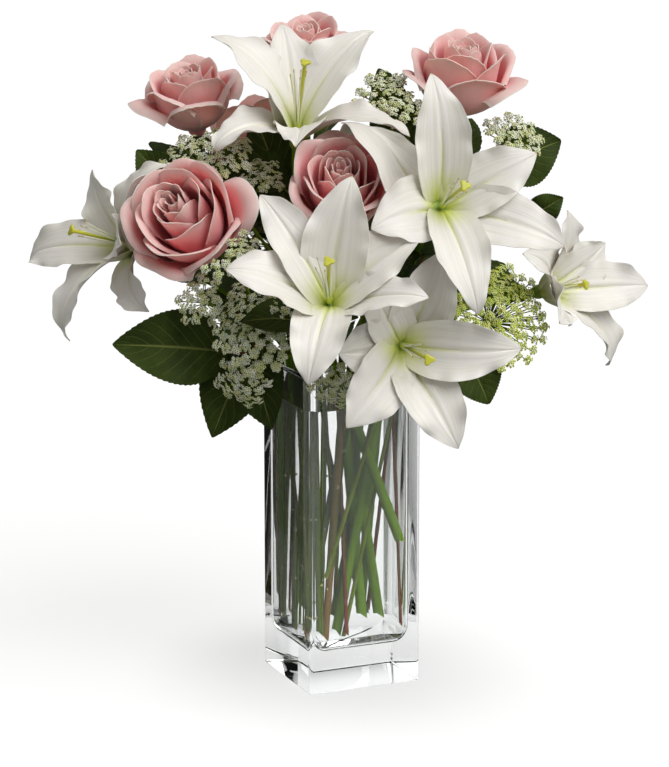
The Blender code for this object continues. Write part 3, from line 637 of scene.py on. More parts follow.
def copies_tree():
    """Geometry Nodes: a copy of one small shape on each point, looking and sized as the point says."""
    found = bpy.data.node_groups.get("Copies on points")
    if found:
        return found
    group = new_tree("Copies on points", [
        ("Shape", "NodeSocketObject", None), ("Size", "NodeSocketFloat", 1.0), ("Size spread", "NodeSocketFloat", 0.2),
        ("Seed", "NodeSocketInt", SEED), ("Material", "NodeSocketMaterial", None)])
    tree = NodeTree(group)
    given = tree.add("NodeGroupInput").outputs
    look = tree.add("GeometryNodeInputNamedAttribute", {"Name": "look"}, data_type="FLOAT_VECTOR").outputs[0]
    upright = tree.add("FunctionNodeAlignRotationToVector", {"Vector": look}, axis="Z").outputs["Rotation"]
    spin = tree.add("FunctionNodeRandomValue", {2: 0.0, 3: math.tau, 8: given["Seed"]}, data_type="FLOAT").outputs[1]
    turn = tree.add("FunctionNodeAxisAngleToRotation", {"Axis": (0, 0, 1), "Angle": spin}).outputs[0]
    facing_turned = tree.add("FunctionNodeRotateRotation", {"Rotation": upright, "Rotate By": turn}, rotation_space="LOCAL")
    least = tree.add("ShaderNodeMath", {0: 1.0, 1: given["Size spread"]}, operation="SUBTRACT").outputs[0]
    most = tree.add("ShaderNodeMath", {0: 1.0, 1: given["Size spread"]}, operation="ADD").outputs[0]
    varied = tree.add("FunctionNodeRandomValue", {2: least, 3: most, 8: given["Seed"]}, data_type="FLOAT").outputs[1]
    size = tree.add("ShaderNodeMath", {0: varied, 1: given["Size"]}, operation="MULTIPLY").outputs[0]
    shape = tree.add("GeometryNodeObjectInfo", {"Object": given["Shape"]}).outputs["Geometry"]
    points = tree.add("GeometryNodeMeshToPoints", {"Mesh": given["Geometry"]}).outputs["Points"]
    set_out = tree.add("GeometryNodeInstanceOnPoints", {
        "Points": points, "Instance": shape, "Rotation": facing_turned.outputs[0], "Scale": size}).outputs[0]
    real = tree.add("GeometryNodeRealizeInstances", {"Geometry": set_out}).outputs[0]
    dressed = tree.add("GeometryNodeSetMaterial", {"Geometry": real, "Material": given["Material"]}).outputs[0]
    tree.add("NodeGroupOutput", {"Geometry": dressed})
    return group


def paths_mesh(paths):
    """A mesh of open paths. Each is (points, thickness at the points, kind)."""
    points, edges, thick, along, kinds = [], [], [], [], []
    for line, widths, kind in paths:
        start = len(points)
        points.extend(tuple(point) for point in line)
        edges.extend((start + step, start + step + 1) for step in range(len(line) - 1))
        thick.extend(np.broadcast_to(widths, len(line)))
        along.extend(np.linspace(0, 1, len(line)))
        kinds.extend([kind] * len(line))
    mesh = bpy.data.meshes.new("paths")
    mesh.from_pydata(points, edges, [])
    for label, values in (("thick", thick), ("along", along), ("kind", kinds)):
        mesh.attributes.new(label, "FLOAT", "POINT").data.foreach_set("value", values)
    return mesh


def stalks(paths, sides, finish):
    """The round stalks along these paths as one plain mesh."""
    return grown("stalks", stalk_tree(), paths_mesh(paths), Sides=sides, Material=finish)


def rounded_block(half, bottom, top, upright_round, bottom_round, steps):
    """An upright square block with rounded vertical edges and a rounded lower edge."""
    solid = bmesh.new()
    size = Matrix.Diagonal((2 * half, 2 * half, top - bottom, 1))
    bmesh.ops.create_cube(solid, size=1, matrix=Matrix.Translation((0, 0, (top + bottom) / 2)) @ size)
    upright = [edge for edge in solid.edges if abs(edge.verts[0].co.z - edge.verts[1].co.z) > 1e-6]
    bmesh.ops.bevel(solid, geom=upright, offset=upright_round, segments=steps, affect="EDGES", profile=0.5)
    lower = [edge for edge in solid.edges if all(abs(vertex.co.z - bottom) < 1e-6 for vertex in edge.verts)]
    bmesh.ops.bevel(solid, geom=lower, offset=bottom_round, segments=steps, affect="EDGES", profile=0.5)
    mesh = bpy.data.meshes.new("block")
    solid.to_mesh(mesh)
    solid.free()
    return bpy.data.objects.new("block", mesh)


def vase_mesh():
    """The square glass: an outer block with the rounded hollow cut out and the rim eased."""
    outside = rounded_block(VASE_SIDE / 2, 0, VASE_HEIGHT, OUTER_CORNER, RIM_ROUND, 6)
    hollow = rounded_block(INNER_HALF, FLOOR_THICKNESS, VASE_HEIGHT + 0.02, INNER_CORNER, INNER_FLOOR_ROUND, 12)
    for block in (outside, hollow):
        bpy.context.scene.collection.objects.link(block)
    cut = outside.modifiers.new("Hollow", "BOOLEAN")
    cut.operation = "DIFFERENCE"
    cut.object = hollow
    mesh = finished_mesh(outside)
    bpy.data.objects.remove(hollow)
    solid = bmesh.new()
    solid.from_mesh(mesh)
    rim = [edge for edge in solid.edges
           if all(abs(vertex.co.z - VASE_HEIGHT) < 1e-6 for vertex in edge.verts)
           and edge.calc_face_angle(0) > math.radians(60)]
    bmesh.ops.bevel(solid, geom=rim, offset=RIM_ROUND, segments=4, affect="EDGES", profile=0.5)
    solid.to_mesh(mesh)
    solid.free()
    mesh.shade_smooth()
    mesh.set_sharp_from_angle(angle=math.radians(30))
    return mesh


def water_mesh():
    """The water, met by the glass all round."""
    into_glass = 0.05 * MM
    block = rounded_block(INNER_HALF + into_glass, FLOOR_THICKNESS - into_glass, WATER_LEVEL,
                          INNER_CORNER, INNER_FLOOR_ROUND, 12)
    mesh = block.data
    bpy.data.objects.remove(block)
    mesh.shade_smooth()
    mesh.set_sharp_from_angle(angle=math.radians(30))
    return mesh


def tepal_surface(base, axis, shape, whorl):
    """A lily tepal: it leaves the throat steeply and curls outwards, ribbed and ruffled at its edges."""
    beta, length, width, root_opening, tip_opening = shape
    values = settings("lily")
    around = math.radians(beta)
    outward = outwards(axis, around)
    sideways = np.cross(axis, outward)
    share = np.linspace(0, 1, 121)
    angles = np.radians(root_opening + (tip_opening - root_opening) * share**1.3 + (36 if length > 80 else 8) * share**9)
    step = length * MM / 120
    out = 3 * MM + np.concatenate([[0], np.cumsum(np.sin(angles[:-1]))]) * step
    forward = np.concatenate([[0], np.cumsum(np.cos(angles[:-1]))]) * step

    def surface(u, t):
        angle = np.interp(t, share, angles)
        inward = np.outer(np.sin(angle), axis) - np.outer(np.cos(angle), outward)
        swell = t**0.6 * np.maximum(0, 1 - t**2.1) ** 1.02 / 0.57
        half = (width / 2 * (0.2 * (1 - t) + 0.98 * np.minimum(swell, 1.2)) + 0.3) * MM
        edge = np.abs(u)
        cup = 0.45 * (1 - 0.75 * t) * half * u * u
        wave = 1.5 * MM * u * edge * np.sin(beta + 9 * t) * np.minimum(1, 3 * t) * np.minimum(1, 3 * (1 - t))
        fading = np.minimum(1, 6 * t) * (1 - t) ** 0.6
        groove = -1.6 * values.rib * np.exp(-(u / 0.07) ** 2) * fading
        ribs = values.rib * (np.exp(-((edge - 0.17) / 0.07) ** 2) + 0.5 * np.exp(-((edge - 0.42) / 0.06) ** 2)) * fading
        ruffle = values.ruffle * edge**4 * eased((t - 0.18) / 0.4) * np.minimum(1, 5 * (1 - t)) * (
            np.sin(15 * t + beta + 2 * np.sign(u)) + 0.5 * np.sin(34 * t + 2 * beta * np.sign(u)))
        height = cup + wave + groove + ribs + ruffle + whorl * 3.4 * MM
        points = base + np.outer(np.interp(t, share, forward), axis) + np.outer(np.interp(t, share, out), outward)
        swing = 5 * MM * math.sin(2.3 * beta) * t**4
        points = points + np.outer(half * u + swing, sideways) + inward * height[:, None]
        return bent_clear(points)

    return surface


def lily_mesh(name):
    """Six tepals on a small green boss."""
    spot, yaw, lift, tepals = LILIES[name]
    base, axis = place(spot), facing(yaw, lift)
    gathered = Gathered("along", "across", "side", "ring")
    for number, shape in enumerate(tepals):
        blade(gathered, tepal_surface(base, axis, shape, number % 2), 46, 23, 0.8 * MM, ring=3.7 * number + shape[0])
    boss = [base - axis * 7 * MM + axis * 0.9 * MM * step for step in range(14)]
    widths = [5.4 * MM * math.sqrt(max(0.02, 1 - ((step - 6.5) / 6.5) ** 2)) for step in range(14)]
    gathered.add_mesh(stalks([(boss, widths, 0)], 16, None), along=0.0, across=0.0)
    return gathered.mesh(name)


def heart_mesh(name):
    """The style with its three-lobed stigma, among six filaments, on the green ovary."""
    spot, yaw, lift, tepals = LILIES[name]
    base, axis = place(spot), facing(yaw, lift)
    foot = base + axis * 6.2 * MM
    reach = STYLES.get(name, 1)
    steps = np.linspace(0, 1, 18)[:, None]
    paths = []
    ovary = foot + axis * (steps * 14 - 1) * MM
    paths.append((ovary, 2.6 * MM * np.sqrt(np.maximum(0.03, 1 - (2 * steps[:, 0] - 1) ** 2)), 0))
    lean = outwards(axis, math.radians(-60)) * math.tan(math.radians(4))
    end = foot + unit(axis + lean) * 62 * reach * MM
    style = foot + (end - foot) * steps + lean * (steps**2 - steps) * 30 * MM
    paths.append((style, (1.25 + 0.35 * steps[:, 0] ** 6) * MM, 0))
    for filament in range(6):
        outward = outwards(axis, math.radians(60 * filament + 20))
        open_way = 5 + 3 * math.sin(5 * filament + spot[0])
        start = foot + outward * 1.6 * MM + axis * 3 * MM
        rise = axis * 49 * reach * MM * steps
        spread = outward * math.tan(math.radians(open_way)) * 50 * reach * MM * steps**1.6
        paths.append((start + rise + spread, (0.85 - 0.5 * steps[:, 0] ** 2) * MM, 1))
    gathered = Gathered("along", "kind")
    gathered.add_mesh(stalks(paths, 10, None))
    knob = bmesh.new()
    bmesh.ops.create_uvsphere(knob, u_segments=24, v_segments=12, radius=1)
    right, up = across(axis)
    points = []
    for vertex in knob.verts:
        x, y, z = vertex.co
        lobe = 1 + 0.26 * math.cos(3 * math.atan2(y, x))
        dip = 0.9 * MM * max(0, z) * (1 - min(1, x * x + y * y))
        flat = (right * x + up * y) * (3.6 + 0.7 * z) * MM * lobe
        points.append(end + flat + axis * (z * 2.2 * MM - dip))
    bmesh.ops.recalc_face_normals(knob, faces=knob.faces)
    faces = [[vertex.index for vertex in face.verts] for face in knob.faces]
    knob.free()
    gathered.add(np.array(points), faces, along=1.0)
    return gathered.mesh(name)


def petal_wall(reach, height, root_turn, lean):
    """Distances from the axis and along it, up a petal that leaves the root flat and then stands, leaning by that angle."""
    share = np.linspace(0, 1, 61)
    angle = np.radians(root_turn + (lean - root_turn) * eased(share / 0.6))
    out = np.concatenate([[0], np.cumsum(np.sin(angle[:-1]))])
    rise = np.concatenate([[0], np.cumsum(np.cos(angle[:-1]))])
    start = min(3 * MM, 0.45 * reach)
    return share, start + out * (reach - start) / out[45], rise * height / rise[-1]


def rose_mesh(name):
    """A crumpled heart in a cup of broad petals whose rims are rolled back, the outermost leaning out."""
    spot, yaw, lift, radius, heart, last_turn, flare = ROSES[name]
    axis = facing(yaw, lift)
    size = radius * MM
    base = place(spot) - axis * 0.82 * size
    right, up = across(axis)
    draw = random.Random(SEED + radius + spot[0])
    count = settings("rose").petals
    outer, middle = 6, 8
    inner = count - outer - middle
    gathered = Gathered("along", "across", "side", "ring")
    for petal in range(count):
        if petal < inner:
            part = petal / max(1, inner - 1)
            reach, half_angle, height = 0.06 + 0.28 * part, 100 - 25 * part, 1.30 + 0.05 * part
            lean, curl, roll, crumple = -6 + 4 * part, 0.35, 1.3 * MM, 0.9 * MM
        elif petal < inner + middle:
            part = (petal - inner) / (middle - 1)
            reach, half_angle, height = 0.41 + 0.29 * part, 72 - 10 * part, 1.40 - 0.06 * part
            lean, curl, roll, crumple = -2 + 8 * part, 0.75, 2.4 * MM, 1.4 * MM
        else:
            part = (petal - inner - middle) / (outer - 1)
            reach, half_angle, height = 0.75 + 0.09 * part, 60 - 12 * part, 1.26 - 0.34 * part
            lean, curl, roll, crumple = 4 + (flare - 4) * part**3, 1.0, 3.2 * MM, 1.8 * MM
        out_share = petal / (count - 1)
        turn = math.radians(last_turn) + (petal - count + 1) * GOLDEN + draw.uniform(-0.2, 0.2)
        half_angle = math.radians(half_angle)
        height = size * (height + draw.uniform(-0.04, 0.04))
        share, outs, rises = petal_wall(size * reach, height, 66 - 12 * out_share, lean)
        roll = roll * draw.uniform(0.7, 1.25)
        peak = 0.07 * draw.uniform(0.2, 1.2) * out_share
        phase = draw.uniform(0, math.tau)
        middle_at = draw.uniform(-0.2, 0.2)
        shift = (right * heart[0] + up * heart[1]) * size * (1 - out_share) ** 0.7

        def surface(u, t):
            t = 1 - (1 - t) ** 1.5
            edge = np.abs(u)
            rough = 0.006 * np.sin(31 * u + phase) * t**6
            up_wall = t * (1 - 0.30 * edge**2.6 - 0.05) + peak * np.exp(-(((u + middle_at) / 0.24) ** 2)) * t**8 + rough
            around = turn + u * half_angle * (0.60 + 0.40 * np.sin(math.pi * np.minimum(1, 0.12 + t * 0.7)))
            out, rise = np.interp(up_wall, share, outs), np.interp(up_wall, share, rises)
            bend = curl * 2.3 * np.clip((t - 0.80) / 0.20, 0, 1) ** 1.3
            out = out + roll * (1 - np.cos(bend)) + 0.025 * size * u * t
            rise = rise - roll * (bend - np.sin(bend))
            waves = crumple * np.sin(2.4 * u + phase) * t**2 + 0.35 * crumple * np.sin(7 * u + 2 * phase) * t**5
            outward = np.outer(np.cos(around), right) + np.outer(np.sin(around), up)
            return base + outward * (out + waves)[:, None] + np.outer(rise, axis) + np.outer(t**1.5, shift)

        blade(gathered, surface, 19, 19, 0.55 * MM, ring=out_share)
    steps = np.linspace(0, 1, 12)
    under = [base + axis * (-5 + 12 * step) * MM for step in steps]
    gathered.add_mesh(stalks([(under, [6.8 * MM * math.sqrt(max(0.02, 1 - (2 * s - 1) ** 2)) for s in steps], 0)], 16, None))
    return gathered.mesh(name)


def stem_line(foot, mouth, lead, end, direction):
    """Straight from the foot through the mouth, then curving to the end, where it arrives along the direction."""
    foot = np.array(foot) * MM
    top = np.array((*(np.array(mouth) * MM), VASE_HEIGHT))
    slant = unit(top - foot)
    reach = np.linalg.norm(end - top)
    handles = (top, top + slant * min(lead * MM, 0.45 * reach), end - direction * 0.42 * reach, end)
    straight = [foot + (top - foot) * step / 40 for step in range(40)]
    t = np.linspace(0, 1, 33)[:, None]
    weights = ((1 - t) ** 3, 3 * t * (1 - t) ** 2, 3 * t * t * (1 - t), t**3)
    curve = sum(weight * handle for weight, handle in zip(weights, handles))
    return np.concatenate([straight, curve])


def slanted_cut(mesh, foot, direction, radius):
    """Cut the stalk's foot off at a slant."""
    side = unit(np.cross(direction, (0.3, 0.8, 0.1)))
    for vertex in mesh.vertices:
        away = np.array(vertex.co) - foot
        if np.linalg.norm(away) < 1.3 * radius and abs(away @ direction) < 0.3 * radius:
            vertex.co = Vector(np.array(vertex.co) + direction * (radius + away @ side) * 1.1)


def lengths(line):
    """How far along the line each of its points is."""
    return np.concatenate([[0], np.cumsum(np.linalg.norm(np.diff(line, axis=0), axis=1))])


def lily_stem_mesh(name):
    """A thick green stem with the low rings that its leaves left."""
    spot, yaw, lift, tepals = LILIES[name]
    axis = facing(yaw, lift)
    line = stem_line(*STEMS[name], place(spot) - axis * 8.2 * MM + axis * 2.5 * MM, axis)
    run = lengths(line)
    widths = (4.0 - 0.8 * run / run[-1]) * MM
    for ring in np.arange(31, 400, 47) * MM:
        widths = widths + 0.35 * MM * np.exp(-((run - ring - 3 * MM * math.sin(ring * 900)) / (1.8 * MM)) ** 2)
    mesh = stalks([(line, widths, 0)], 20, None)
    slanted_cut(mesh, line[0], unit(line[1] - line[0]), 4 * MM)
    mesh.shade_smooth()
    mesh.set_sharp_from_angle(angle=math.radians(50))
    return mesh, line


def thorn_shape():
    """A small curved thorn that points along +Z from a broad root."""
    solid = bmesh.new()
    bmesh.ops.create_cone(solid, cap_ends=True, segments=8, radius1=0.62, radius2=0.03, depth=1.0)
    for vertex in solid.verts:
        vertex.co.z += 0.35
        vertex.co.x = vertex.co.x * 0.7 - 0.35 * max(0, vertex.co.z) ** 2
    mesh = bpy.data.meshes.new("thorn")
    solid.to_mesh(mesh)
    solid.free()
    return bpy.data.objects.new("thorn_shape", mesh)


def points_mesh(points, looks):
    """A mesh of loose points that carry the direction they look in."""
    mesh = bpy.data.meshes.new("points")
    mesh.from_pydata([tuple(point) for point in points], [], [])
    mesh.attributes.new("look", "FLOAT_VECTOR", "POINT").data.foreach_set("vector", np.array(looks, float).ravel())
    return mesh


def copies(shape, points, looks, size, spread):
    """Copies of a shape, one on each point, as one plain mesh. The shape itself is removed."""
    bpy.context.scene.collection.objects.link(shape)
    mesh = grown("copies", copies_tree(), points_mesh(points, looks), **{
        "Shape": shape, "Size": size, "Size spread": spread})
    bpy.data.objects.remove(shape)
    return mesh


def rose_stem_mesh(name):
    """A stem with thorns and a hip under the flower, with five sepals."""
    spot, yaw, lift, radius = ROSES[name][:4]
    axis = facing(yaw, lift)
    end = place(spot) - axis * (0.82 * radius + 5.6) * MM
    line = stem_line(*STEMS[name], end, axis)
    run = lengths(line)
    widths = (3.2 - 0.6 * run / run[-1] + 0.12 * np.sin(run * 260)) * MM
    widths = widths + 2.4 * MM * np.exp(-((run[-1] - run - 1.5 * MM) / (4.5 * MM)) ** 2)
    gathered = Gathered("along", "kind")
    shaft = stalks([(line, widths, 0)], 16, None)
    slanted_cut(shaft, line[0], unit(line[1] - line[0]), 3.2 * MM)
    gathered.add_mesh(shaft)
    draw = random.Random(SEED + radius)
    roots, looks = [], []
    for thorn in range(11):
        step = 3 + int(5.2 * thorn)
        direction = unit(line[step + 1] - line[step])
        side = outwards(direction, thorn * 2.4 + draw.uniform(-0.4, 0.4))
        roots.append(line[step] + side * widths[step] * 0.92)
        looks.append(unit(side - direction * 0.15))
    gathered.add_mesh(copies(thorn_shape(), roots, looks, 2.6 * MM, 0.3))
    for sepal in range(5):
        outward = outwards(axis, math.radians(72 * sepal + 10))
        sideways = np.cross(axis, outward)
        start = end - axis * 2.2 * MM + outward * 2 * MM

        def surface(u, t):
            half = 2.3 * MM * np.sin(math.pi * np.minimum(1, 0.25 + 0.75 * t)) ** 0.8 + 0.15 * MM
            middle = start + np.outer(16 * MM * t, outward) + np.outer(-5 * MM * t**1.5 - 2 * MM * t**4, axis)
            return middle + np.outer(half * u, sideways) + np.outer(0.3 * half * u * u, axis)

        blade(gathered, surface, 12, 5, 0.5 * MM)
    return gathered.mesh(name, 50), line


def nearest_on(line, spot, below):
    """The point above the rim, at least that length before the line's end, that is nearest to the spot."""
    run = lengths(line)
    allowed = (run[-1] - run >= below) & (line[:, 2] > VASE_HEIGHT + 4 * MM)
    choice = line[allowed]
    return choice[np.argmin(np.linalg.norm(choice - spot, axis=1))]


def floret_shape():
    """A closed five-petalled floret about one unit wide, green in the middle."""
    rim = []
    for petal in range(5):
        angle = petal * math.tau / 5
        rim.append((0.50 * math.cos(angle), 0.50 * math.sin(angle), 0.10))
        rim.append((0.32 * math.cos(angle + math.pi / 5), 0.32 * math.sin(angle + math.pi / 5), 0.02))
    points = [*rim, (0, 0, 0.16), (0, 0, -0.16)]
    faces = []
    for corner in range(10):
        after = (corner + 1) % 10
        faces.append((corner, after, 10))
        faces.append((after, corner, 11))
    mesh = bpy.data.meshes.new("floret")
    mesh.from_pydata(points, [], faces)
    mesh.attributes.new("rim", "FLOAT", "POINT").data.foreach_set("value", [1.0, 0.6] * 5 + [0.0, 0.0])
    return bpy.data.objects.new("floret_shape", mesh)


def lace_meshes(name, bloom_tree):
    """A lace flower: a thin stem that branches to domes of rays, each ray ending in a tuft of florets."""
    (foot, mouth, lead, arrival), heads = LACE[name]
    spot, yaw, lift, radius = heads[0]
    end = place(spot) - facing(yaw, lift) * 0.72 * radius * MM
    line = stem_line(foot, mouth, lead, end, facing(*arrival))
    run = lengths(line)
    thick = [(line, (1.7 - 0.5 * run / run[-1]) * MM, 0)]
    rays, threads, florets, looks = [], [], [], []
    per_ray = settings("lace").florets
    for spot, yaw, lift, radius in heads:
        axis, centre, size = facing(yaw, lift), place(spot), radius * MM
        hub = centre - axis * 0.72 * size
        if np.linalg.norm(hub - end) > 1 * MM:
            fork = nearest_on(line, hub - axis * 20 * MM, 12 * MM)
            steps = np.linspace(0, 1, 12)[:, None]
            arch = fork + (hub - fork) * steps + np.array((0, 0, 12 * MM)) * steps * (1 - steps)
            thick.append((arch, 1.0 * MM, 0))
        thick.append(([hub - axis * 1.5 * MM, hub - axis * 0.5 * MM, hub + axis * 0.6 * MM],
                      np.array((1.0, 1.6, 1.1)) * MM, 0))
        count = max(12, round(0.045 * radius * radius))
        for ray in range(count):
            out = math.sqrt((ray + 0.5) / count)
            turn = ray * GOLDEN + radius
            outward = outwards(axis, turn)
            tip = centre + outward * size * out * 0.95 - axis * size * (0.26 * out * out + 0.07 * math.sin(5.3 * ray))
            look = unit(axis + outward * 0.6 * out)
            hit = bloom_tree.ray_cast(Vector(hub), Vector(unit(tip - hub)), np.linalg.norm(tip - hub) + 2 * MM)
            near = bloom_tree.find_nearest(Vector(tip), 4.6 * MM)
            if hit[0] is not None or near[0] is not None:
                continue
            neck = tip - look * 4.5 * MM
            rays.append(([hub, (hub + neck) / 2 + axis * 1.0 * MM * out, neck], 0.42 * MM, 0))
            side, top = across(look)
            for floret in range(per_ray):
                out_here = math.sqrt((floret + 0.5) / per_ray)
                angle = floret * GOLDEN + ray
                away = math.cos(angle) * side + math.sin(angle) * top
                lift_here = 0.9 - 2.0 * out_here**2 + 1.1 * math.sin(7.1 * floret + 3.3 * ray)
                seat = tip + away * out_here * 3.7 * MM + look * lift_here * MM
                threads.append(([neck, seat - look * 0.3 * MM], 0.16 * MM, 0))
                florets.append(seat)
                looks.append(unit(look + away * 0.7 * out_here))
    green = Gathered("along", "kind")
    green.add_mesh(stalks(thick, 10, None))
    green.add_mesh(stalks(rays, 4, None))
    green.add_mesh(stalks(threads, 3, None))
    white = copies(floret_shape(), florets, looks, settings("lace").floret, 0.22)
    return green.mesh(name + "_rays", 50), white


def leaf_surface(base, tip, width, look, teeth):
    """An oval leaf with a toothed edge, folded a little along its midrib and dented along its side veins."""
    along = tip - base
    length = np.linalg.norm(along)
    along = along / length
    side = unit(np.cross(along, look))
    face = np.cross(side, along)

    def surface(u, t):
        swell = np.maximum(0, np.sin(math.pi * np.minimum(1, t) ** 0.78)) ** 0.85
        saw = (t * teeth) % 1
        half = width * MM / 2 * swell * 1.03 + (0.6 + 0.9 * (saw - 0.4) * np.minimum(1, 12 * (1 - t))) * MM
        arch = length * 0.10 * np.sin(math.pi * t)
        edge = np.abs(u)
        fold = 0.24 * edge * half + 1.2 * MM * u * np.sin(11 * t)
        dents = 0.022 * width * MM * np.cos((t * 8 - edge * 2.6) * math.tau) * edge * (1 - edge)
        rib = -0.7 * MM * np.exp(-(u / 0.05) ** 2) * (1 - t)
        points = base + np.outer(length * t, along) + np.outer(half * u, side)
        return bent_clear(points + np.outer(arch + fold + dents + rib, face))

    return surface


def leaf_blade(gathered, surface, teeth):
    blade(gathered, surface, 4 * teeth + 1, 19, 0.6 * MM)


def sprig_meshes(name):
    """A leafy sprig: a reddish twig and its toothed leaves on short stalks."""
    (foot, mouth, lead, arrival), leaves = SPRIGS[name]
    end = place(leaves[0][0])
    line = stem_line(foot, mouth, lead, end, facing(*arrival))
    run = lengths(line)
    twigs = [(line, (1.6 - 0.5 * run / run[-1] + 0.1 * np.sin(run * 300)) * MM, 0)]
    teeth = settings("leaf").teeth
    green = Gathered("along", "across", "side")
    steps = np.linspace(0, 1, 10)[:, None]
    for base, tip, width, look in leaves + SMALL_LEAVES.get(name, ()):
        start = place(base)
        surface = leaf_surface(start, place(tip), width, facing(*look), teeth)
        leaf_blade(green, surface, teeth)
        inner = surface(np.zeros(1), np.array([0.1]))[0]
        twigs.append((start + (inner - start) * steps, (0.95 - 0.35 * steps[:, 0]) * MM, 0))
        if np.linalg.norm(start - end) > 1 * MM:
            fork = nearest_on(line, start, 15 * MM)
            arch = fork + (start - fork) * steps + np.array((0, 0, 12 * MM)) * steps * (1 - steps)
            twigs.append((arch, 1.05 * MM, 0))
    twig = stalks(twigs, 12, None)
    slanted_cut(twig, line[0], unit(line[1] - line[0]), 1.6 * MM)
    twig.shade_smooth()
    twig.set_sharp_from_angle(angle=math.radians(50))
    return green.mesh(name), twig


def foliage_mesh(name, line, bloom_tree):
    """Dark leaves on a stem inside the bouquet. Each takes the first way out that meets no bloom."""
    draw = random.Random(SEED + len(name) + int(1e4 * abs(line[-1][0])))
    run = lengths(line)
    above = run[np.argmax(line[:, 2] > VASE_HEIGHT)]
    green = Gathered("along", "across", "side")
    stalk_lines = []
    for leaf in range(4):
        share = 0.16 + 0.19 * leaf
        root = line[np.argmin(np.abs(run - above - (run[-1] - above) * share))]
        radial = unit(root * (1, 1, 0) + 1e-6)
        for attempt in range(14):
            swing = math.radians(draw.uniform(-75, 75))
            heading = np.array((radial[0] * math.cos(swing) - radial[1] * math.sin(swing),
                                radial[0] * math.sin(swing) + radial[1] * math.cos(swing), draw.uniform(0.0, 0.9)))
            heading = unit(heading)
            length = (58 - 2.2 * attempt) * MM
            start = root + heading * 11 * MM
            look = unit(np.array((0, 0, 1.0)) + radial * draw.uniform(0.2, 1.2))
            surface = leaf_surface(start, start + heading * length, 0.60 * length / MM, look, 12)
            trial = Gathered("along", "across", "side")
            blade(trial, surface, 9, 5, 0.6 * MM)
            points = [Vector(point) for point in np.concatenate(trial.points)]
            if not bloom_tree.overlap(BVHTree.FromPolygons(points, trial.faces)) and start[2] > VASE_HEIGHT + 8 * MM:
                blade(green, surface, 49, 11, 0.6 * MM)
                inner = surface(np.zeros(1), np.array([0.1]))[0]
                stalk_lines.append((np.linspace(root, inner, 8), np.linspace(1.1, 0.7, 8) * MM, 0))
                break
    if stalk_lines:
        green.add_mesh(stalks(stalk_lines, 8, None), along=0.2, side=1.0)
    return green.mesh(name) if green.count else None


def tree_of(meshes):
    """One search tree of several meshes."""
    points, faces = [], []
    for mesh in meshes:
        start = len(points)
        points.extend(vertex.co.copy() for vertex in mesh.vertices)
        faces.extend([start + corner for corner in face.vertices] for face in mesh.polygons)
    return BVHTree.FromPolygons(points, faces)


class FLOWERS_OT_vase(bpy.types.Operator):
    """Make the square glass and the water in it"""

    bl_idname = "flowers.vase"
    bl_label = "Vase and water"

    def execute(self, context):
        values = settings("vase")
        glass = clear_material("vase_glass", values.glass_tint, values.glass_index, 0.0)
        vase = add_piece("glass_vase", vase_mesh(), glass, "glass", "vase")
        clear = clear_material("vase_water", values.water_tint, 1.333, 0.0)
        water = add_piece("vase_water", water_mesh(), clear, "water", "water")
        for lets_light_in in (vase, water):
            lets_light_in.visible_shadow = False
        return {"FINISHED"}


class FLOWERS_OT_roses(bpy.types.Operator):
    """Make the rose heads"""

    bl_idname = "flowers.roses"
    bl_label = "Roses"

    def execute(self, context):
        finish = rose_material()
        for name in ROSES:
            mesh = rose_mesh(name)
            blooms.append(mesh)
            add_piece(name + "_petals", mesh, finish, "rose_pink", name)
        return {"FINISHED"}


class FLOWERS_OT_lilies(bpy.types.Operator):
    """Make the lilies and their hearts"""

    bl_idname = "flowers.lilies"
    bl_label = "Lilies"

    def execute(self, context):
        white, heart = lily_material(), heart_material()
        for name in LILIES:
            mesh = lily_mesh(name)
            blooms.append(mesh)
            add_piece(name + "_tepals", mesh, white, "lily_white", name)
            add_piece(name + "_style", heart_mesh(name), heart, "lily_heart", name + "_heart")
        return {"FINISHED"}


class FLOWERS_OT_stems(bpy.types.Operator):
    """Make the stems of lilies and roses"""

    bl_idname = "flowers.stems"
    bl_label = "Stems"

    def execute(self, context):
        values = settings("leaf")
        green = stem_material("lily_stem", values.lily_stem, (0.11, 0.21, 0.015), 60)
        olive = stem_material("rose_stem", values.rose_stem, (0.07, 0.11, 0.02), 90, 0.55)
        brown = stem_material("rose_stem_brown", (0.24, 0.13, 0.045), (0.14, 0.13, 0.03), 90, 0.55)
        leafy = leaf_material()
        bloom_tree = tree_of(blooms)
        for name in (*LILIES, *ROSES):
            lily = name in LILIES
            mesh, line = lily_stem_mesh(name) if lily else rose_stem_mesh(name)
            finish = green if lily else brown if name == "rose_centre" else olive
            add_piece(name + "_stalk", mesh, finish, "lily_green" if lily else "rose_green", name + "_stem")
            leaves = foliage_mesh(name + "_leaves", line, bloom_tree)
            if leaves:
                add_piece(name + "_foliage", leaves, leafy, "leaf_green", name + "_stem")
        return {"FINISHED"}


class FLOWERS_OT_lace(bpy.types.Operator):
    """Make the lace flowers"""

    bl_idname = "flowers.lace"
    bl_label = "Lace flowers"

    def execute(self, context):
        values = settings("lace")
        green = stem_material("lace_rays", values.green, (0.12, 0.17, 0.012), 150)
        white = floret_material("lace_florets", values.white, (0.78, 0.80, 0.40))
        young = floret_material("lace_florets_young", (0.98, 0.99, 0.42), (0.72, 0.82, 0.12))
        bloom_tree = tree_of(blooms)
        for name in LACE:
            rays, florets = lace_meshes(name, bloom_tree)
            add_piece(name + "_rays", rays, green, "lace_white", name)
            add_piece(name + "_florets", florets, young if name == "lace_low_right" else white, "lace_white", name)
        return {"FINISHED"}


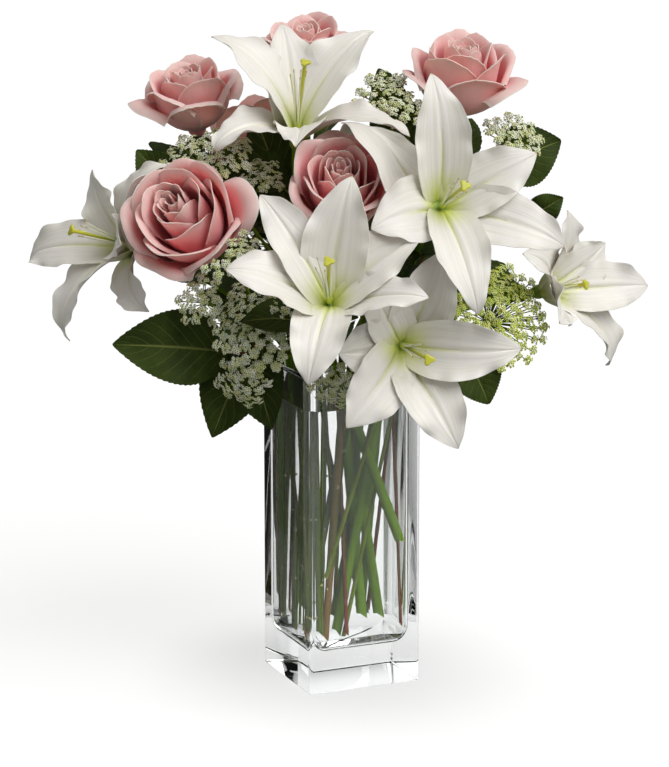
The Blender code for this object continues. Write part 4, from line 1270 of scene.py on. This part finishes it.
class FLOWERS_OT_sprigs(bpy.types.Operator):
    """Make the leafy sprigs"""

    bl_idname = "flowers.sprigs"
    bl_label = "Leafy sprigs"

    def execute(self, context):
        green = bpy.data.materials["leaf_blade"]
        twig = stem_material("sprig_twig", settings("leaf").twig, (0.10, 0.09, 0.03), 90, 0.5)
        for name in SPRIGS:
            leaves, wood = sprig_meshes(name)
            add_piece(name + "_leaves", leaves, green, "leaf_green", name)
            add_piece(name + "_twig", wood, twig, "leaf_green", name)
        return {"FINISHED"}


class FLOWERS_OT_stage(bpy.types.Operator):
    """Set the pale floor, the soft light and the camera"""

    bl_idname = "flowers.stage"
    bl_label = "Stage"

    def execute(self, context):
        values = settings("stage")
        scene = context.scene
        scene.view_settings.view_transform = "Standard"
        bpy.ops.mesh.primitive_plane_add(size=12, location=(0, 0, -0.2 * MM))
        floor = context.object
        floor.name = "floor"
        made, tree, shader = material(
            "floor_paper", 0.8, Emission_Color=(1, 1, 1, 1), Specular_IOR_Level=0.0)
        away = tree.add("ShaderNodeVectorMath", {
            0: tree.add("ShaderNodeTexCoord").outputs["Object"]}, operation="LENGTH").outputs["Value"]
        # Painted shadow: the floor's glow is dimmed by up to a quarter near the vase's foot, as a soft contact shadow.
        near = tree.sum("SUBTRACT", 1.0, tree.range(away, 0.18, 0.04, 0.0, 0.24))
        glow = tree.sum("MULTIPLY", tree.sum("MULTIPLY", self.seen(tree), near), values.glow)
        join(tree, glow, shader.inputs["Emission Strength"])
        # Painted reflection: in glossy reflections, such as in the glass, the floor is painted near black.
        join(tree, tree.mix(self.mirrored(tree), (*values.floor, 1), (0.05, 0.05, 0.05, 1)), shader.inputs["Base Color"])
        join(tree, tree.bump(tree.noise(300), 0.05 * MM, 0.1), shader.inputs["Normal"])
        floor.data.materials.append(made)
        self.world(scene, values)
        self.light("key_light", (0.90, -0.90, 1.30), 52, values.key)
        self.light("back_light", (-0.9, 1.2, 1.3), 60, 0.16 * values.key)
        self.camera(scene)
        return {"FINISHED"}

    @staticmethod
    def seen(tree):
        """One for what the eye sees, straight or through the glass, and zero for what only lights the flowers."""
        path = tree.add("ShaderNodeLightPath").outputs
        clear = tree.sum("SUBTRACT", path["Is Transmission Ray"], path["Diffuse Depth"])
        return tree.sum("MAXIMUM", tree.sum("MAXIMUM", path["Is Camera Ray"], clear), 0.0)

    @staticmethod
    def mirrored(tree):
        """One for what the glass mirrors, and zero otherwise. It marks where the floor and the room are painted dark,
        as painted reflections.
        """
        path = tree.add("ShaderNodeLightPath").outputs
        return tree.sum("MULTIPLY", path["Is Glossy Ray"], path["Is Reflection Ray"])

    @classmethod
    def world(cls, scene, values):
        """A white room for the eye and through the glass, dimmer as a source of light, with painted shade overhead
        where seen through the glass and painted dark reflections.
        """
        room = bpy.data.worlds.new("white_room")
        room.use_nodes = True
        tree = NodeTree(room.node_tree)
        room.node_tree.nodes.clear()
        path = tree.add("ShaderNodeLightPath").outputs
        direction = tree.add("ShaderNodeTexCoord").outputs["Generated"]
        height = tree.add("ShaderNodeSeparateXYZ", {0: direction}).outputs["Z"]
        # Painted shade: seen through the glass, the room is painted darker overhead, by up to four fifths.
        painted_shade_overhead = tree.sum("MULTIPLY", tree.range(height, 0.25, 0.75, 0.0, 0.8), path["Is Transmission Ray"])
        # Painted reflection: in glossy reflections the room gives only a quarter of its fill light.
        strength = tree.sum("MULTIPLY", tree.range(cls.mirrored(tree), 0.0, 1.0, 1.0, 0.25), values.fill)
        dim = tree.add("ShaderNodeBackground", {"Color": (1.0, 0.985, 0.95, 1), "Strength": strength})
        bright = tree.add("ShaderNodeBackground", {
            "Color": (1, 1, 1, 1), "Strength": tree.sum("SUBTRACT", 1.0, painted_shade_overhead)})
        blend = tree.add("ShaderNodeMixShader", {0: cls.seen(tree), 1: dim.outputs[0], 2: bright.outputs[0]})
        tree.add("ShaderNodeOutputWorld", {"Surface": blend.outputs[0]})
        scene.world = room

    @staticmethod
    def light(name, source, spread, strength):
        """A soft light from far off, whose source is that many degrees wide, towards (right, back, up)."""
        lamp = bpy.data.lights.new(name, "SUN")
        lamp.angle = math.radians(spread)
        lamp.energy = strength
        holder = bpy.data.objects.new(name, lamp)
        holder.location = TURN @ np.array(source)
        holder.rotation_euler = (-holder.location).to_track_quat("-Z", "Y").to_euler()
        bpy.context.scene.collection.objects.link(holder)

    @staticmethod
    def camera(scene):
        """The photograph's view."""
        lens = bpy.data.cameras.new("camera")
        lens.sensor_fit = "VERTICAL"
        lens.sensor_height = 36
        lens.lens = 135.44
        lens.shift_x = -0.0085
        camera = bpy.data.objects.new("camera", lens)
        camera.matrix_world = (
            Matrix.Rotation(math.radians(-23.72), 4, "Z") @ Matrix.Translation((0, -2.1, 0.706))
            @ Matrix.Rotation(math.radians(77.1), 4, "X"))
        scene.collection.objects.link(camera)
        scene.camera = camera


class FLOWERS_PT_panel(bpy.types.Panel):
    """The flowers' settings and makers"""

    bl_label = "Flowers in a Vase"
    bl_space_type = "VIEW_3D"
    bl_region_type = "UI"
    bl_category = "Flowers"

    def draw(self, context):
        for name, group in SETTINGS.items():
            box = self.layout.box()
            for label in group.__annotations__:
                box.prop(getattr(context.scene, name), label)
        for maker in MAKERS:
            self.layout.operator(maker.bl_idname)


MAKERS = (
    FLOWERS_OT_vase, FLOWERS_OT_roses, FLOWERS_OT_lilies, FLOWERS_OT_stems, FLOWERS_OT_lace, FLOWERS_OT_sprigs,
    FLOWERS_OT_stage,
)


def register():
    for group in (*SETTINGS.values(), *MAKERS, FLOWERS_PT_panel):
        bpy.utils.register_class(group)
    for name, group in SETTINGS.items():
        setattr(bpy.types.Scene, name, bpy.props.PointerProperty(type=group))


def unregister():
    for name in SETTINGS:
        delattr(bpy.types.Scene, name)
    for group in (FLOWERS_PT_panel, *reversed(MAKERS), *SETTINGS.values()):
        bpy.utils.unregister_class(group)


def main():
    register()
    for maker in MAKERS:
        family, name = maker.bl_idname.split(".")
        getattr(getattr(bpy.ops, family), name)()


if __name__ == "__main__":
    main()
